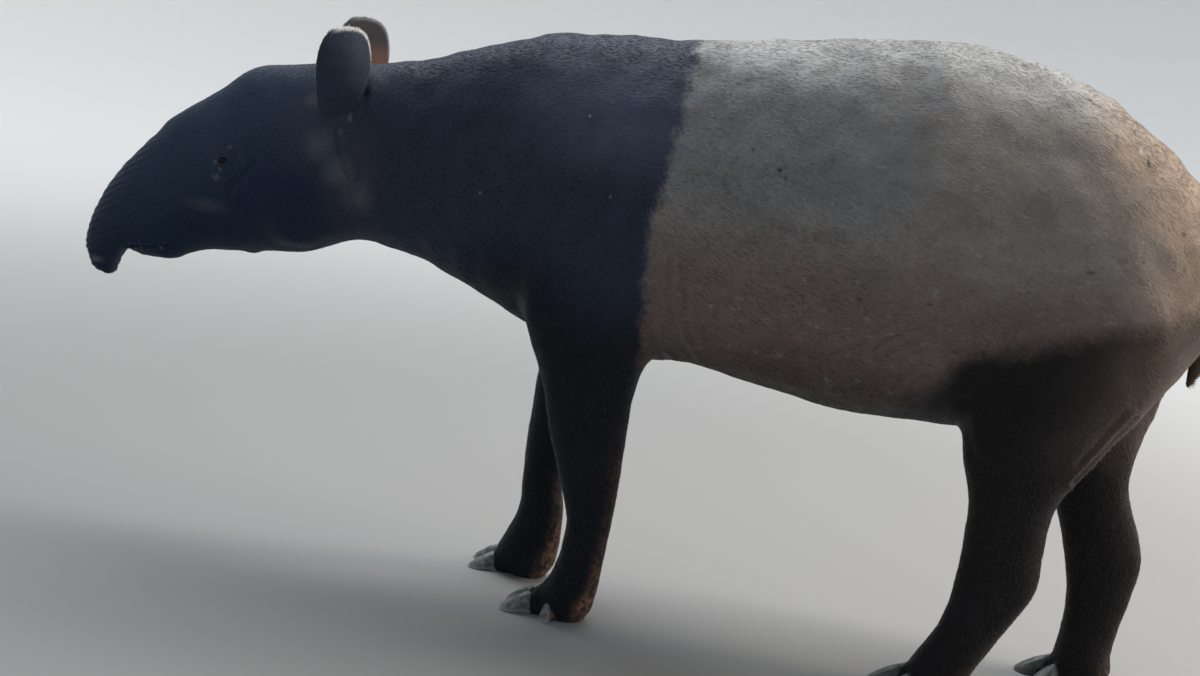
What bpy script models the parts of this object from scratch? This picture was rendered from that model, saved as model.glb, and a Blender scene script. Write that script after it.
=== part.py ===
"""A Malayan tapir as a still, life-size museum model, standing with its head held level.

Metres, +Z up. The animal faces -X, its left side is -Y, and the floor is Z = 0.
The body is modelled whole, from lofted sections, and is then parted with thin cuts.
"""

import math
from collections import namedtuple

import bmesh
import bpy
import numpy as np
from mathutils import Matrix, Vector

# Gap that neighbouring nodes keep
GAP = 0.0003

# How far the blank that makes a seat stands proud of the piece that sits in it, and how many
# times that its sharpest corners may move
SEAT_GAP = 0.0003
CORNER_LIMIT = 6.0

# Size of the cells that the fused body is rebuilt from, and the triangles it keeps
CELL = 0.006
HEAD_TRIANGLES = 2500
FEET_TRIANGLES = 900
REST_TRIANGLES = 3300
HEAD_STARTS = -0.52
FOOT_TOP = 0.10

# Rings and sides that each loft is made with
Detail = namedtuple("Detail", "rings sides")
TRUNK_DETAIL = Detail(96, 48)
PROBOSCIS_DETAIL = Detail(30, 32)
LEG_DETAIL = Detail(40, 28)
TOE_DETAIL = Detail(8, 16)
HOOF_DETAIL = Detail(6, 10)
TAIL_DETAIL = Detail(10, 12)
EAR_DETAIL = Detail(12, 18)
BALL_SIDES = 24
SMALL_BALL_SIDES = 14

# Colours and roughness of the animal's surfaces
BLACK_COAT = (0.018, 0.021, 0.028)
PALE_COAT = (0.33, 0.30, 0.26)
EAR_COAT = (0.030, 0.032, 0.038)
HORN = (0.20, 0.21, 0.19)
EYE_DARK = (0.010, 0.008, 0.007)
COAT_ROUGHNESS = 0.75
HORN_ROUGHNESS = 0.5
EYE_ROUGHNESS = 0.12

LEFT = -1
RIGHT = 1

# One loft section: two points (x, z) that it spans in the side view, the y of its middle, half its
# width, where that width lies from the back point (0) to the fore point (1), and how round the
# halves on either side of it are (2 is an ellipse, more is squarer)
Section = namedtuple("Section", "fore_x fore_z back_x back_z side half widest round_fore round_back")


def spine(top, low, half, widest=0.46, crown=2.0, keel=2.1):
    """A section across the body, from its top line to its bottom line."""
    return Section(*top, *low, 0.0, half, widest, crown, keel)


def limb(height, front, rear, side, half):
    """A level section through a leg, from its front edge to its rear edge."""
    return Section(front, height, rear, height, side, half, 0.5, 2.2, 2.2)


# Rump to lower lip
TRUNK_SECTIONS = [
    spine((0.994, 0.720), (0.988, 0.690), 0.014),
    spine((0.980, 0.800), (0.950, 0.655), 0.094),
    spine((0.950, 0.865), (0.911, 0.588), 0.152, 0.48, 2.1, 2.2),
    spine((0.893, 0.925), (0.864, 0.512), 0.194, 0.48, 2.1, 2.3),
    spine((0.812, 0.984), (0.785, 0.480), 0.220, 0.48, 2.1, 2.4),
    spine((0.716, 1.043), (0.695, 0.462), 0.235, 0.48, 2.0, 2.4),
    spine((0.610, 1.077), (0.600, 0.447), 0.243, 0.47, 2.0, 2.3),
    spine((0.490, 1.092), (0.490, 0.442), 0.251, 0.46, 2.0, 2.2),
    spine((0.370, 1.083), (0.375, 0.439), 0.256, 0.45, 2.0, 2.2),
    spine((0.245, 1.064), (0.250, 0.455), 0.249, 0.45, 2.0, 2.2),
    spine((0.120, 1.042), (0.125, 0.473), 0.231, 0.46, 2.0, 2.3),
    spine((0.000, 1.026), (0.005, 0.472), 0.210, 0.47, 2.0, 2.4),
    spine((-0.120, 1.016), (-0.105, 0.474), 0.189, 0.50, 2.0, 2.3),
    spine((-0.215, 1.002), (-0.195, 0.496), 0.167, 0.50, 2.0, 2.2),
    spine((-0.300, 0.976), (-0.275, 0.529), 0.145, 0.50),
    spine((-0.377, 0.944), (-0.355, 0.562), 0.128, 0.50),
    spine((-0.448, 0.922), (-0.435, 0.584), 0.116, 0.50),
    spine((-0.522, 0.902), (-0.512, 0.590), 0.107, 0.50),
    spine((-0.595, 0.891), (-0.590, 0.556), 0.100, 0.48, 1.9),
    spine((-0.665, 0.879), (-0.660, 0.544), 0.093, 0.46, 1.9),
    spine((-0.733, 0.861), (-0.725, 0.534), 0.083, 0.50, 1.9),
    spine((-0.790, 0.814), (-0.785, 0.525), 0.070, 0.48, 1.9),
    spine((-0.845, 0.773), (-0.840, 0.502), 0.058, 0.42, 2.0, 2.4),
    spine((-0.888, 0.731), (-0.888, 0.498), 0.048, 0.38, 2.0, 2.4),
    spine((-0.912, 0.640), (-0.914, 0.502), 0.035, 0.30),
    spine((-0.916, 0.560), (-0.919, 0.511), 0.012, 0.30),
]

# Muzzle to the end of the proboscis, bending down
PROBOSCIS_SECTIONS = [
    spine((-0.800, 0.805), (-0.760, 0.600), 0.050),
    spine((-0.858, 0.762), (-0.810, 0.570), 0.054),
    spine((-0.923, 0.688), (-0.862, 0.548), 0.051),
    spine((-0.965, 0.628), (-0.903, 0.530), 0.047),
    spine((-0.990, 0.573), (-0.925, 0.508), 0.043),
    spine((-1.003, 0.520), (-0.939, 0.479), 0.039),
    spine((-0.996, 0.481), (-0.944, 0.455), 0.034),
    spine((-0.982, 0.466), (-0.952, 0.452), 0.022),
]

# Legs from inside the body to the fetlock: height, front x, rear x, side, half width
FRONT_LEFT_SECTIONS = [
    limb(0.780, -0.125, 0.015, -0.122, 0.050),
    limb(0.690, -0.170, 0.045, -0.128, 0.064),
    limb(0.600, -0.195, 0.058, -0.129, 0.066),
    limb(0.510, -0.184, 0.042, -0.123, 0.063),
    limb(0.430, -0.146, 0.026, -0.114, 0.056),
    limb(0.345, -0.119, 0.022, -0.106, 0.049),
    limb(0.265, -0.092, 0.023, -0.098, 0.045),
    limb(0.195, -0.067, 0.021, -0.092, 0.039),
    limb(0.135, -0.064, 0.017, -0.088, 0.038),
    limb(0.080, -0.074, 0.014, -0.086, 0.042),
    limb(0.045, -0.089, 0.011, -0.085, 0.046),
    limb(0.022, -0.085, 0.008, -0.085, 0.043),
]
FRONT_RIGHT_SECTIONS = [
    limb(0.780, -0.145, -0.005, 0.122, 0.050),
    limb(0.690, -0.185, 0.025, 0.128, 0.064),
    limb(0.600, -0.210, 0.028, 0.130, 0.066),
    limb(0.510, -0.206, -0.005, 0.128, 0.063),
    limb(0.430, -0.176, -0.035, 0.123, 0.056),
    limb(0.345, -0.174, -0.060, 0.117, 0.049),
    limb(0.265, -0.175, -0.078, 0.112, 0.045),
    limb(0.195, -0.171, -0.091, 0.108, 0.039),
    limb(0.135, -0.169, -0.081, 0.108, 0.038),
    limb(0.080, -0.185, -0.080, 0.110, 0.043),
    limb(0.045, -0.199, -0.082, 0.113, 0.046),
    limb(0.022, -0.195, -0.085, 0.113, 0.043),
]
HIND_LEFT_SECTIONS = [
    limb(0.840, 0.660, 0.820, -0.125, 0.080),
    limb(0.740, 0.620, 0.890, -0.138, 0.096),
    limb(0.630, 0.585, 0.900, -0.140, 0.095),
    limb(0.530, 0.562, 0.852, -0.138, 0.083),
    limb(0.440, 0.570, 0.792, -0.135, 0.067),
    limb(0.355, 0.599, 0.748, -0.136, 0.054),
    limb(0.280, 0.606, 0.744, -0.135, 0.046),
    limb(0.215, 0.605, 0.748, -0.133, 0.041),
    limb(0.155, 0.600, 0.722, -0.131, 0.037),
    limb(0.095, 0.581, 0.691, -0.128, 0.038),
    limb(0.050, 0.560, 0.668, -0.125, 0.043),
    limb(0.024, 0.562, 0.665, -0.125, 0.041),
]
HIND_RIGHT_SECTIONS = [
    limb(0.840, 0.700, 0.860, 0.122, 0.075),
    limb(0.740, 0.670, 0.935, 0.132, 0.090),
    limb(0.630, 0.655, 0.960, 0.132, 0.092),
    limb(0.530, 0.672, 0.949, 0.124, 0.081),
    limb(0.440, 0.722, 0.924, 0.104, 0.063),
    limb(0.365, 0.762, 0.917, 0.092, 0.052),
    limb(0.290, 0.800, 0.948, 0.083, 0.045),
    limb(0.235, 0.819, 0.964, 0.077, 0.042),
    limb(0.165, 0.837, 0.955, 0.071, 0.037),
    limb(0.095, 0.841, 0.942, 0.067, 0.038),
    limb(0.050, 0.838, 0.938, 0.065, 0.043),
    limb(0.024, 0.842, 0.935, 0.065, 0.041),
]

# Tail: a short stump that hangs against the rump
TAIL_SECTIONS = [
    spine((0.950, 0.720), (0.975, 0.745), 0.024, 0.5, 2.0, 2.0),
    spine((0.945, 0.680), (0.990, 0.690), 0.023, 0.5, 2.0, 2.0),
    spine((0.945, 0.645), (0.986, 0.640), 0.021, 0.5, 2.0, 2.0),
    spine((0.941, 0.605), (0.974, 0.600), 0.017, 0.5, 2.0, 2.0),
    spine((0.940, 0.575), (0.961, 0.571), 0.011, 0.5, 2.0, 2.0),
    spine((0.944, 0.566), (0.955, 0.565), 0.004, 0.5, 2.0, 2.0),
]

# Swellings fused to the body, mirrored to both sides: centre (x, y, z), radii
CHEEK = ((-0.612, 0.054, 0.665), (0.090, 0.050, 0.100))
BROW = ((-0.740, 0.0585, 0.716), (0.038, 0.0245, 0.019))
EAR_BASE = ((-0.556, 0.060, 0.812), (0.046, 0.036, 0.046))
UPPER_LIP = ((-0.866, 0.024, 0.545), (0.062, 0.025, 0.021))

# Lower lip and the small bump under the chin, on the middle plane
LOWER_LIP = ((-0.850, 0.0, 0.513), (0.030, 0.036, 0.014))
CHIN_BUMP = ((-0.698, 0.0, 0.545), (0.016, 0.014, 0.014))

# Where one form of the body flows into the next: centre, reach and strength of the smoothing
Blend = namedtuple("Blend", "centre reach strength")
BLENDS = [
    Blend((-0.080, -0.150, 0.600), 0.25, 1.0),
    Blend((-0.110, 0.150, 0.600), 0.25, 1.0),
    Blend((0.720, -0.160, 0.660), 0.32, 1.0),
    Blend((0.800, 0.150, 0.660), 0.32, 1.0),
    Blend((-0.612, -0.090, 0.665), 0.13, 1.0),
    Blend((-0.612, 0.090, 0.665), 0.13, 1.0),
    Blend((-0.556, -0.080, 0.815), 0.08, 1.0),
    Blend((-0.556, 0.080, 0.815), 0.08, 1.0),
    Blend((-0.740, -0.080, 0.714), 0.06, 0.15),
    Blend((-0.740, 0.080, 0.714), 0.06, 0.15),
    Blend((-0.868, -0.045, 0.560), 0.05, 0.8),
    Blend((-0.868, 0.045, 0.560), 0.05, 0.8),
]
BLEND_PASSES = 110
FINE_PASSES = 4

# Eye: its centre on the left side is at -y, and the way it looks has y outward
EYE_CENTRE = (-0.744, 0.0688, 0.698)
EYE_LOOKS = (-0.24, 1.0, 0.05)
EYE_RADIUS = 0.0140

# Lids: an almond ring of this half length, opened to a share of it, with a flat oval section that
# sinks outward into the skin
LID_REACH = 0.0115
LID_OPENING = 0.60
LID_THICKNESS = 0.0032
LID_WIDTH = 0.0052
LID_AWAY = 0.0041
LID_SINK = 0.0018
LID_OUT = 0.0097
LID_TILT = math.radians(14)
LID_STEPS = 18
LID_SIDES = 6

# Mouth line, from the notch behind the proboscis to the corner (x, z), and its groove
MOUTH_LINE = [(-0.925, 0.512), (-0.900, 0.518), (-0.868, 0.524), (-0.835, 0.533), (-0.800, 0.550)]
MOUTH_STEPS = 16
MOUTH_INSIDE = 0.0008
MOUTH_OUTSIDE = 0.0042
MOUTH_DEPTH = 0.011
MOUTH_PAST = 0.030
MUZZLE_END = -0.912

# Nostril: centre, radii and the way it runs up into the proboscis
NOSTRIL_CENTRE = (-0.990, 0.0175, 0.477)
NOSTRIL_RADII = (0.0065, 0.0100, 0.022)
NOSTRIL_PITCH = math.radians(-24)

# Ear: an oval cup on a thick root, its hollow turned to the middle and forward
EAR_ROOT = (-0.556, 0.074, 0.800)
EAR_RIM = 0.0036

# How many degrees each ear's hollow is turned forward and its tip leans outward and back, its
# size, and how far its root lies forward of the other's
EarPose = namedtuple("EarPose", "turn lean_out lean_back size forward")
EAR_POSES = {LEFT: EarPose(44, 11, 0, 1.05, -0.002), RIGHT: EarPose(18, 4, 1, 1.16, 0.014)}

# The ear from its root to its tip: height, half width, how far its back bulges, how deep it is
# hollowed (a share of that bulge, less than 0 where it is solid) and how far it is moved back
EAR_SHAPE = [
    (-0.028, 0.014, 0.014, -1.0, -0.030),
    (-0.006, 0.024, 0.022, -0.9, -0.016),
    (0.022, 0.041, 0.028, 0.0, -0.002),
    (0.055, 0.048, 0.033, 0.70, 0.0),
    (0.085, 0.0505, 0.030, 0.80, 0.0),
    (0.112, 0.0485, 0.023, 0.80, 0.0),
    (0.134, 0.0410, 0.013, 0.72, 0.0),
    (0.148, 0.0270, 0.005, 0.50, 0.0),
    (0.153, 0.0085, 0.002, 0.00, 0.0),
]

# Feet: where the foot's middle stands, degrees that it turns outward, and its outer side
Foot = namedtuple("Foot", "name x side turn_out outer")
FEET = [
    Foot("front_left", -0.054, -0.083, -27, LEFT),
    Foot("front_right", -0.150, 0.116, 29, RIGHT),
    Foot("hind_left", 0.602, -0.125, -4, LEFT),
    Foot("hind_right", 0.884, 0.065, 6, RIGHT),
]
PAD_RADII = (0.050, 0.044, 0.050)
PAD_HEIGHT = 0.034
PAD_BEHIND = 0.012

# Toes, inner to outer: degrees outward of the middle toe, how far its tip reaches from the foot's
# middle, and its hoof's length, height and half width
Toe = namedtuple("Toe", "number splay reach length tall half")
FRONT_TOES = [
    Toe(1, -40, 0.096, 0.058, 0.036, 0.0185),
    Toe(2, 0, 0.104, 0.062, 0.040, 0.0200),
    Toe(3, 36, 0.100, 0.062, 0.040, 0.0195),
    Toe(4, 96, 0.055, 0.030, 0.042, 0.0115),
]
HIND_TOES = [
    Toe(1, -36, 0.092, 0.056, 0.036, 0.0185),
    Toe(2, 0, 0.106, 0.064, 0.040, 0.0210),
    Toe(3, 36, 0.092, 0.056, 0.036, 0.0185),
]

# A hoof from its back to its tip: share of its length, of its height and of its half width
HOOF_SHAPE = [
    (0.00, 0.40, 0.42),
    (0.10, 0.76, 0.57),
    (0.20, 1.00, 0.72),
    (0.38, 0.90, 0.86),
    (0.62, 0.66, 0.96),
    (0.84, 0.38, 0.84),
    (1.00, 0.17, 0.44),
]
SOLE_UNDER = 0.003

# The flesh over a hoof, from the foot's middle to its front edge: share of the hoof's length past
# its back, height over that share of the hoof's height, share of its half width, depth below 0
TOE_SHAPE = [
    (-0.28, 1.00, 0.022, 1.15, 0.006),
    (-0.02, 1.00, 0.009, 0.98, 0.005),
    (0.13, 0.96, 0.003, 0.70, 0.004),
    (0.34, 0.52, 0.000, 0.44, 0.002),
]
TOE_ROOT_TOP = 0.078
TOE_ROOT_WIDTH = 1.05

# Cuts that part the whole body: a point, the slant of the cut in the side view, half sizes
Cut = namedtuple("Cut", "name x y z slant half_across half_along")
CUTS = [
    Cut("cut_neck", -0.283, 0.0, 0.736, 78, 0.30, 0.265),
    Cut("cut_nape", -0.478, 0.0, 0.752, 92, 0.20, 0.21),
    Cut("cut_proboscis", -0.909, 0.0, 0.615, 96, 0.09, 0.130),
    Cut("cut_front_left", -0.060, -0.118, 0.452, 0, 0.10, 0.13),
    Cut("cut_front_right", -0.110, 0.125, 0.452, 0, 0.10, 0.13),
    Cut("cut_hind_left", 0.685, -0.140, 0.424, 0, 0.10, 0.14),
    Cut("cut_hind_right", 0.825, 0.105, 0.424, 0, 0.10, 0.14),
    Cut("cut_ankle_front_left", -0.028, -0.086, 0.092, 0, 0.075, 0.075),
    Cut("cut_ankle_front_right", -0.132, 0.110, 0.092, 0, 0.075, 0.075),
    Cut("cut_ankle_hind_left", 0.630, -0.127, 0.092, 0, 0.075, 0.085),
    Cut("cut_ankle_hind_right", 0.893, 0.067, 0.092, 0, 0.065, 0.075),
]

# Anything smaller that the cuts leave is a scrap (cubic metres)
SCRAP_VOLUME = 1e-6

# A point inside each piece that the cuts leave
PIECE_MIDDLES = {
    "torso": (0.35, 0.0, 0.76),
    "neck": (-0.39, 0.0, 0.75),
    "head": (-0.68, 0.0, 0.70),
    "proboscis": (-0.96, 0.0, 0.56),
    "leg_front_left": (-0.04, -0.10, 0.25),
    "leg_front_right": (-0.13, 0.11, 0.25),
    "leg_hind_left": (0.67, -0.135, 0.25),
    "leg_hind_right": (0.87, 0.08, 0.25),
    "foot_front_left": (-0.06, -0.085, 0.03),
    "foot_front_right": (-0.15, 0.112, 0.03),
    "foot_hind_left": (0.60, -0.125, 0.03),
    "foot_hind_right": (0.87, 0.065, 0.03),
}


def clear_scene():
    for obj in list(bpy.data.objects):
        bpy.data.objects.remove(obj, do_unlink=True)


def new_collection(name):
    collection = bpy.data.collections.new(name)
    bpy.context.scene.collection.children.link(collection)
    return collection


def material(name, colour, roughness):
    made = bpy.data.materials.new(name)
    made.use_nodes = True
    shader = made.node_tree.nodes["Principled BSDF"]
    shader.inputs["Base Color"].default_value = (*colour, 1.0)
    shader.inputs["Roughness"].default_value = roughness
    return made


def new_object(name, bm, collection):
    """An object from a bmesh, split into triangles, so that a seat cut by it has the same faces."""
    bmesh.ops.triangulate(bm, faces=bm.faces)
    mesh = bpy.data.meshes.new(name)
    bm.to_mesh(mesh)
    bm.free()
    obj = bpy.data.objects.new(name, mesh)
    collection.objects.link(obj)
    return obj


def bake(obj):
    """Applies an object's modifiers to its mesh."""
    graph = bpy.context.evaluated_depsgraph_get()
    graph.update()
    mesh = bpy.data.meshes.new_from_object(obj.evaluated_get(graph))
    old = obj.data
    obj.modifiers.clear()
    obj.data = mesh
    bpy.data.meshes.remove(old)


def curve_row(rows, share):
    """The Catmull-Rom curve through all rows, at a share of the way from the first to the last."""
    place = min(max(share, 0.0), 1.0) * (len(rows) - 1)
    index = min(int(place), len(rows) - 2)
    part = place - index
    before = rows[max(index - 1, 0)]
    start = rows[index]
    end = rows[index + 1]
    after = rows[min(index + 2, len(rows) - 1)]
    linear = (end - before) * part
    square = (2 * before - 5 * start + 4 * end - after) * part**2
    cube = (3 * start - before - 3 * end + after) * part**3
    return start + 0.5 * (linear + square + cube)


def section_point(row, turn, size):
    """A point of a section, turned about its middle, with size 0 at that middle and 1 on its rim."""
    section = Section(*row)
    across = math.cos(turn)
    along = math.sin(turn)
    power = 2.0 / (section.round_fore if along > 0 else section.round_back)
    reach = size * abs(along) ** power
    if along > 0:
        share = section.widest + (1.0 - section.widest) * reach
    else:
        share = section.widest * (1.0 - reach)
    x = section.back_x + (section.fore_x - section.back_x) * share
    z = section.back_z + (section.fore_z - section.back_z) * share
    y = section.side + size * section.half * math.copysign(abs(across) ** power, across)
    return Vector((x, y, z))


def ringed_sphere(detail):
    """A sphere's bmesh, and each of its points with its ring (0 and the last are the poles) and turn."""
    bm = bmesh.new()
    steps = detail.rings + 1
    bmesh.ops.create_uvsphere(bm, u_segments=detail.sides, v_segments=steps, radius=1.0)
    places = []
    for vert in bm.verts:
        ring = round(math.acos(min(max(vert.co.z, -1.0), 1.0)) / math.pi * steps)
        places.append((vert, ring, math.atan2(vert.co.y, vert.co.x)))
    return bm, places


def loft(name, sections, detail, collection):
    """A closed skin through the sections, shaped from a sphere."""
    rows = np.array(sections)
    bm, places = ringed_sphere(detail)
    for vert, ring, turn in places:
        row = curve_row(rows, (ring - 1) / (detail.rings - 1))
        size = 0.0 if ring in (0, detail.rings + 1) else 1.0
        vert.co = section_point(row, turn, size)
    bmesh.ops.recalc_face_normals(bm, faces=bm.faces)
    return new_object(name, bm, collection)


def ball(name, centre, radii, collection, turned=Matrix(), sides=BALL_SIDES):
    """An ellipsoid."""
    bm = bmesh.new()
    bmesh.ops.create_uvsphere(bm, u_segments=sides, v_segments=sides // 2, radius=1.0)
    place = Matrix.Translation(centre) @ turned @ Matrix.Diagonal((*radii, 1.0))
    bmesh.ops.transform(bm, matrix=place, verts=bm.verts)
    return new_object(name, bm, collection)


def box(name, matrix, half_sizes, collection):
    """A box with these half sizes, placed by a matrix."""
    bm = bmesh.new()
    bmesh.ops.create_cube(bm, size=2.0)
    bmesh.ops.transform(bm, matrix=matrix @ Matrix.Diagonal((*half_sizes, 1.0)), verts=bm.verts)
    return new_object(name, bm, collection)


def combine(obj, pieces, operation, collection):
    """One Boolean of an object with many pieces, applied, with the pieces then removed."""
    group = bpy.data.collections.new(obj.name + "_pieces")
    for piece in pieces:
        group.objects.link(piece)
    modifier = obj.modifiers.new("combine", "BOOLEAN")
    modifier.operation = operation
    modifier.operand_type = "COLLECTION"
    modifier.collection = group
    modifier.solver = "MANIFOLD"
    bake(obj)
    for piece in pieces:
        bpy.data.objects.remove(piece, do_unlink=True)
    bpy.data.collections.remove(group)


def islands(bm):
    """The separate closed surfaces of a bmesh, each a list of faces."""
    found = []
    waiting = set(bm.faces)
    while waiting:
        stack = [waiting.pop()]
        island = []
        while stack:
            face = stack.pop()
            island.append(face)
            for edge in face.edges:
                for other in edge.link_faces:
                    if other in waiting:
                        waiting.remove(other)
                        stack.append(other)
        found.append(island)
    return found


def volume_of(faces):
    total = 0.0
    for face in faces:
        corners = [vert.co for vert in face.verts]
        for second, third in zip(corners[1:-1], corners[2:]):
            total += corners[0].dot(second.cross(third)) / 6.0
    return total


def keep_largest(obj):
    """Drops all but the largest closed surface of an object."""
    bm = bmesh.new()
    bm.from_mesh(obj.data)
    surfaces = sorted(islands(bm), key=volume_of)
    scraps = [face for surface in surfaces[:-1] for face in surface]
    bmesh.ops.delete(bm, geom=scraps, context="FACES")
    bm.to_mesh(obj.data)
    bm.free()


def grown_copy(obj, gap, collection):
    """A copy of an object with each of its faces moved out by the gap."""
    bm = bmesh.new()
    bm.from_mesh(obj.data)
    bm.normal_update()
    moves = [vert.normal * gap * min(vert.calc_shell_factor(), CORNER_LIMIT) for vert in bm.verts]
    for vert, move in zip(bm.verts, moves):
        vert.co += move
    return new_object(obj.name + "_blank", bm, collection)


def seat(parent, pieces, helpers):
    """Cuts a seat in the parent for each piece, with the gap between them."""
    blanks = [grown_copy(piece, SEAT_GAP, helpers) for piece in pieces]
    combine(parent, blanks, "DIFFERENCE", helpers)
    keep_largest(parent)


def swellings(helpers):
    """The rounded forms fused to the lofts of the head."""
    made = []
    for side in (LEFT, RIGHT):
        for label, (centre, radii) in (
            ("cheek", CHEEK),
            ("brow", BROW),
            ("ear_base", EAR_BASE),
            ("upper_lip", UPPER_LIP),
        ):
            place = (centre[0], side * centre[1], centre[2])
            made.append(ball(label, place, radii, helpers))
    made.append(ball("lower_lip", *LOWER_LIP, helpers))
    made.append(ball("chin_bump", *CHIN_BUMP, helpers))
    return made


def toe_frame(foot, toe):
    """The toe's own frame: its origin under the foot's middle, pointing along -X."""
    outward = math.radians(foot.turn_out + toe.splay) * foot.outer
    return Matrix.Translation((foot.x, foot.side, 0.0)) @ Matrix.Rotation(-outward, 4, "Z")


def toes_of(foot):
    return FRONT_TOES if foot.name.startswith("front") else HIND_TOES


def toe_section(reach, top, under, half):
    """A section across a toe or hoof, at its reach from the foot's middle."""
    return Section(-reach, top, -reach, -under, 0.0, half, 0.35, 2.1, 3.0)


def toe_flesh(foot, toe, helpers):
    """The fleshy toe behind and over its hoof."""
    back = toe.reach - toe.length
    root = toe_section(0.0, TOE_ROOT_TOP, TOE_SHAPE[0][-1], toe.half * TOE_ROOT_WIDTH)
    sections = [root]
    for along, high, over, wide, under in TOE_SHAPE:
        reach = back + toe.length * along
        sections.append(toe_section(reach, toe.tall * high + over, under, toe.half * wide))
    flesh = loft("toe", sections, TOE_DETAIL, helpers)
    flesh.data.transform(toe_frame(foot, toe))
    return flesh


def foot_pad(foot, helpers):
    centre = (foot.x + PAD_BEHIND, foot.side, PAD_HEIGHT)
    return ball("pad", centre, PAD_RADII, helpers)


def hoof(foot, toe, material_of_horn, collection):
    """A hoof with a sloping front wall, a rounded toe and a flat sole at floor level."""
    back = toe.reach - toe.length
    sections = [
        toe_section(back + toe.length * along, toe.tall * high, SOLE_UNDER, toe.half * wide)
        for along, high, wide in HOOF_SHAPE
    ]
    obj = loft(f"hoof_{foot.name}_{toe.number}", sections, HOOF_DETAIL, collection)
    obj.data.transform(toe_frame(foot, toe))
    cut_at_floor(obj)
    obj.data.materials.append(material_of_horn)
    return obj


def cut_at_floor(obj):
    """Cuts an object off flat at Z = 0."""
    bm = bmesh.new()
    bm.from_mesh(obj.data)
    everything = bm.verts[:] + bm.edges[:] + bm.faces[:]
    cut = bmesh.ops.bisect_plane(
        bm, geom=everything, plane_co=(0, 0, 0), plane_no=(0, 0, -1), clear_outer=True
    )
    rim = [item for item in cut["geom_cut"] if isinstance(item, bmesh.types.BMEdge)]
    bmesh.ops.contextual_create(bm, geom=rim)
    bmesh.ops.recalc_face_normals(bm, faces=bm.faces)
    bm.to_mesh(obj.data)
    bm.free()


def whole_body(helpers):
    """Trunk, head, proboscis, legs and feet as one fused and smoothed body."""
    body = loft("body", TRUNK_SECTIONS, TRUNK_DETAIL, helpers)
    pieces = [loft("proboscis_blank", PROBOSCIS_SECTIONS, PROBOSCIS_DETAIL, helpers)]
    for sections in (
        FRONT_LEFT_SECTIONS,
        FRONT_RIGHT_SECTIONS,
        HIND_LEFT_SECTIONS,
        HIND_RIGHT_SECTIONS,
    ):
        pieces.append(loft("leg", sections, LEG_DETAIL, helpers))
    for foot in FEET:
        pieces.append(foot_pad(foot, helpers))
        for toe in toes_of(foot):
            pieces.append(toe_flesh(foot, toe, helpers))
    pieces += swellings(helpers)
    combine(body, pieces, "UNION", helpers)
    rebuild = body.modifiers.new("rebuild", "REMESH")
    rebuild.mode = "VOXEL"
    rebuild.voxel_size = CELL
    bake(body)
    blend_joints(body)
    simplify(body)
    cut_at_floor(body)
    keep_largest(body)
    return body


def closeness(point, blend):
    """The blend's strength at its centre, falling to 0 at its reach."""
    away = (point - Vector(blend.centre)).length / blend.reach
    return blend.strength * max(0.0, 1.0 - away * away)


def blend_joints(body):
    """Smooths the whole body a little and the tops of the legs much more."""
    blends = body.vertex_groups.new(name="blends")
    for vert in body.data.vertices:
        weight = max(closeness(vert.co, blend) for blend in BLENDS)
        if weight > 0.0:
            blends.add([vert.index], weight, "REPLACE")
    wide = body.modifiers.new("wide", "SMOOTH")
    wide.factor = 0.5
    wide.iterations = BLEND_PASSES
    wide.vertex_group = blends.name
    fine = body.modifiers.new("fine", "SMOOTH")
    fine.factor = 0.5
    fine.iterations = FINE_PASSES
    bake(body)


def in_head(point):
    return point.x < HEAD_STARTS


def in_foot(point):
    return point.z < FOOT_TOP


def in_rest(point):
    return not in_head(point) and not in_foot(point)


def simplify(body):
    """Thins the mesh zone by zone, so that the head and feet keep more triangles."""
    body.modifiers.new("split", "TRIANGULATE")
    bake(body)
    for inside, keep in (
        (in_head, HEAD_TRIANGLES),
        (in_foot, FEET_TRIANGLES),
        (in_rest, REST_TRIANGLES),
    ):
        zone = body.vertex_groups.new(name="zone")
        members = [vert.index for vert in body.data.vertices if inside(vert.co)]
        zone.add(members, 1.0, "REPLACE")
        there = set(members)
        count = sum(1 for face in body.data.polygons if there.issuperset(face.vertices))
        total = len(body.data.polygons)
        thin = body.modifiers.new("thin", "DECIMATE")
        thin.ratio = (total - count + keep) / total
        thin.vertex_group = zone.name
        bake(body)
        body.vertex_groups.clear()


def slab(cut, helpers):
    """A thin blade, as thick as the gap."""
    slant = Matrix.Rotation(math.radians(cut.slant), 4, "Y")
    place = Matrix.Translation((cut.x, cut.y, cut.z)) @ slant
    return box(cut.name, place, (cut.half_along, cut.half_across, GAP / 2.0), helpers)


def part_body(body, materials, collection, helpers):
    """Cuts the body apart and makes each piece a node of its own."""
    combine(body, [slab(cut, helpers) for cut in CUTS], "DIFFERENCE", helpers)
    whole = bmesh.new()
    whole.from_mesh(body.data)
    nodes = {}
    for island in islands(whole):
        if volume_of(island) < SCRAP_VOLUME:
            continue
        verts = {vert for face in island for vert in face.verts}
        low = Vector([min(vert.co[i] for vert in verts) for i in range(3)])
        high = Vector([max(vert.co[i] for vert in verts) for i in range(3)])
        middle = (low + high) / 2.0
        name = min(PIECE_MIDDLES, key=lambda key: (Vector(PIECE_MIDDLES[key]) - middle).length)
        if name in nodes:
            raise ValueError(f"two pieces are named {name}")
        piece = bmesh.new()
        made = {vert: piece.verts.new(vert.co) for vert in verts}
        for face in island:
            piece.faces.new([made[vert] for vert in face.verts])
        nodes[name] = new_object(name, piece, collection)
        nodes[name].data.materials.append(materials[name])
    whole.free()
    bpy.data.objects.remove(body, do_unlink=True)
    missing = set(PIECE_MIDDLES) - set(nodes)
    if missing:
        raise ValueError(f"the cuts left no {sorted(missing)}")
    return nodes


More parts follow.
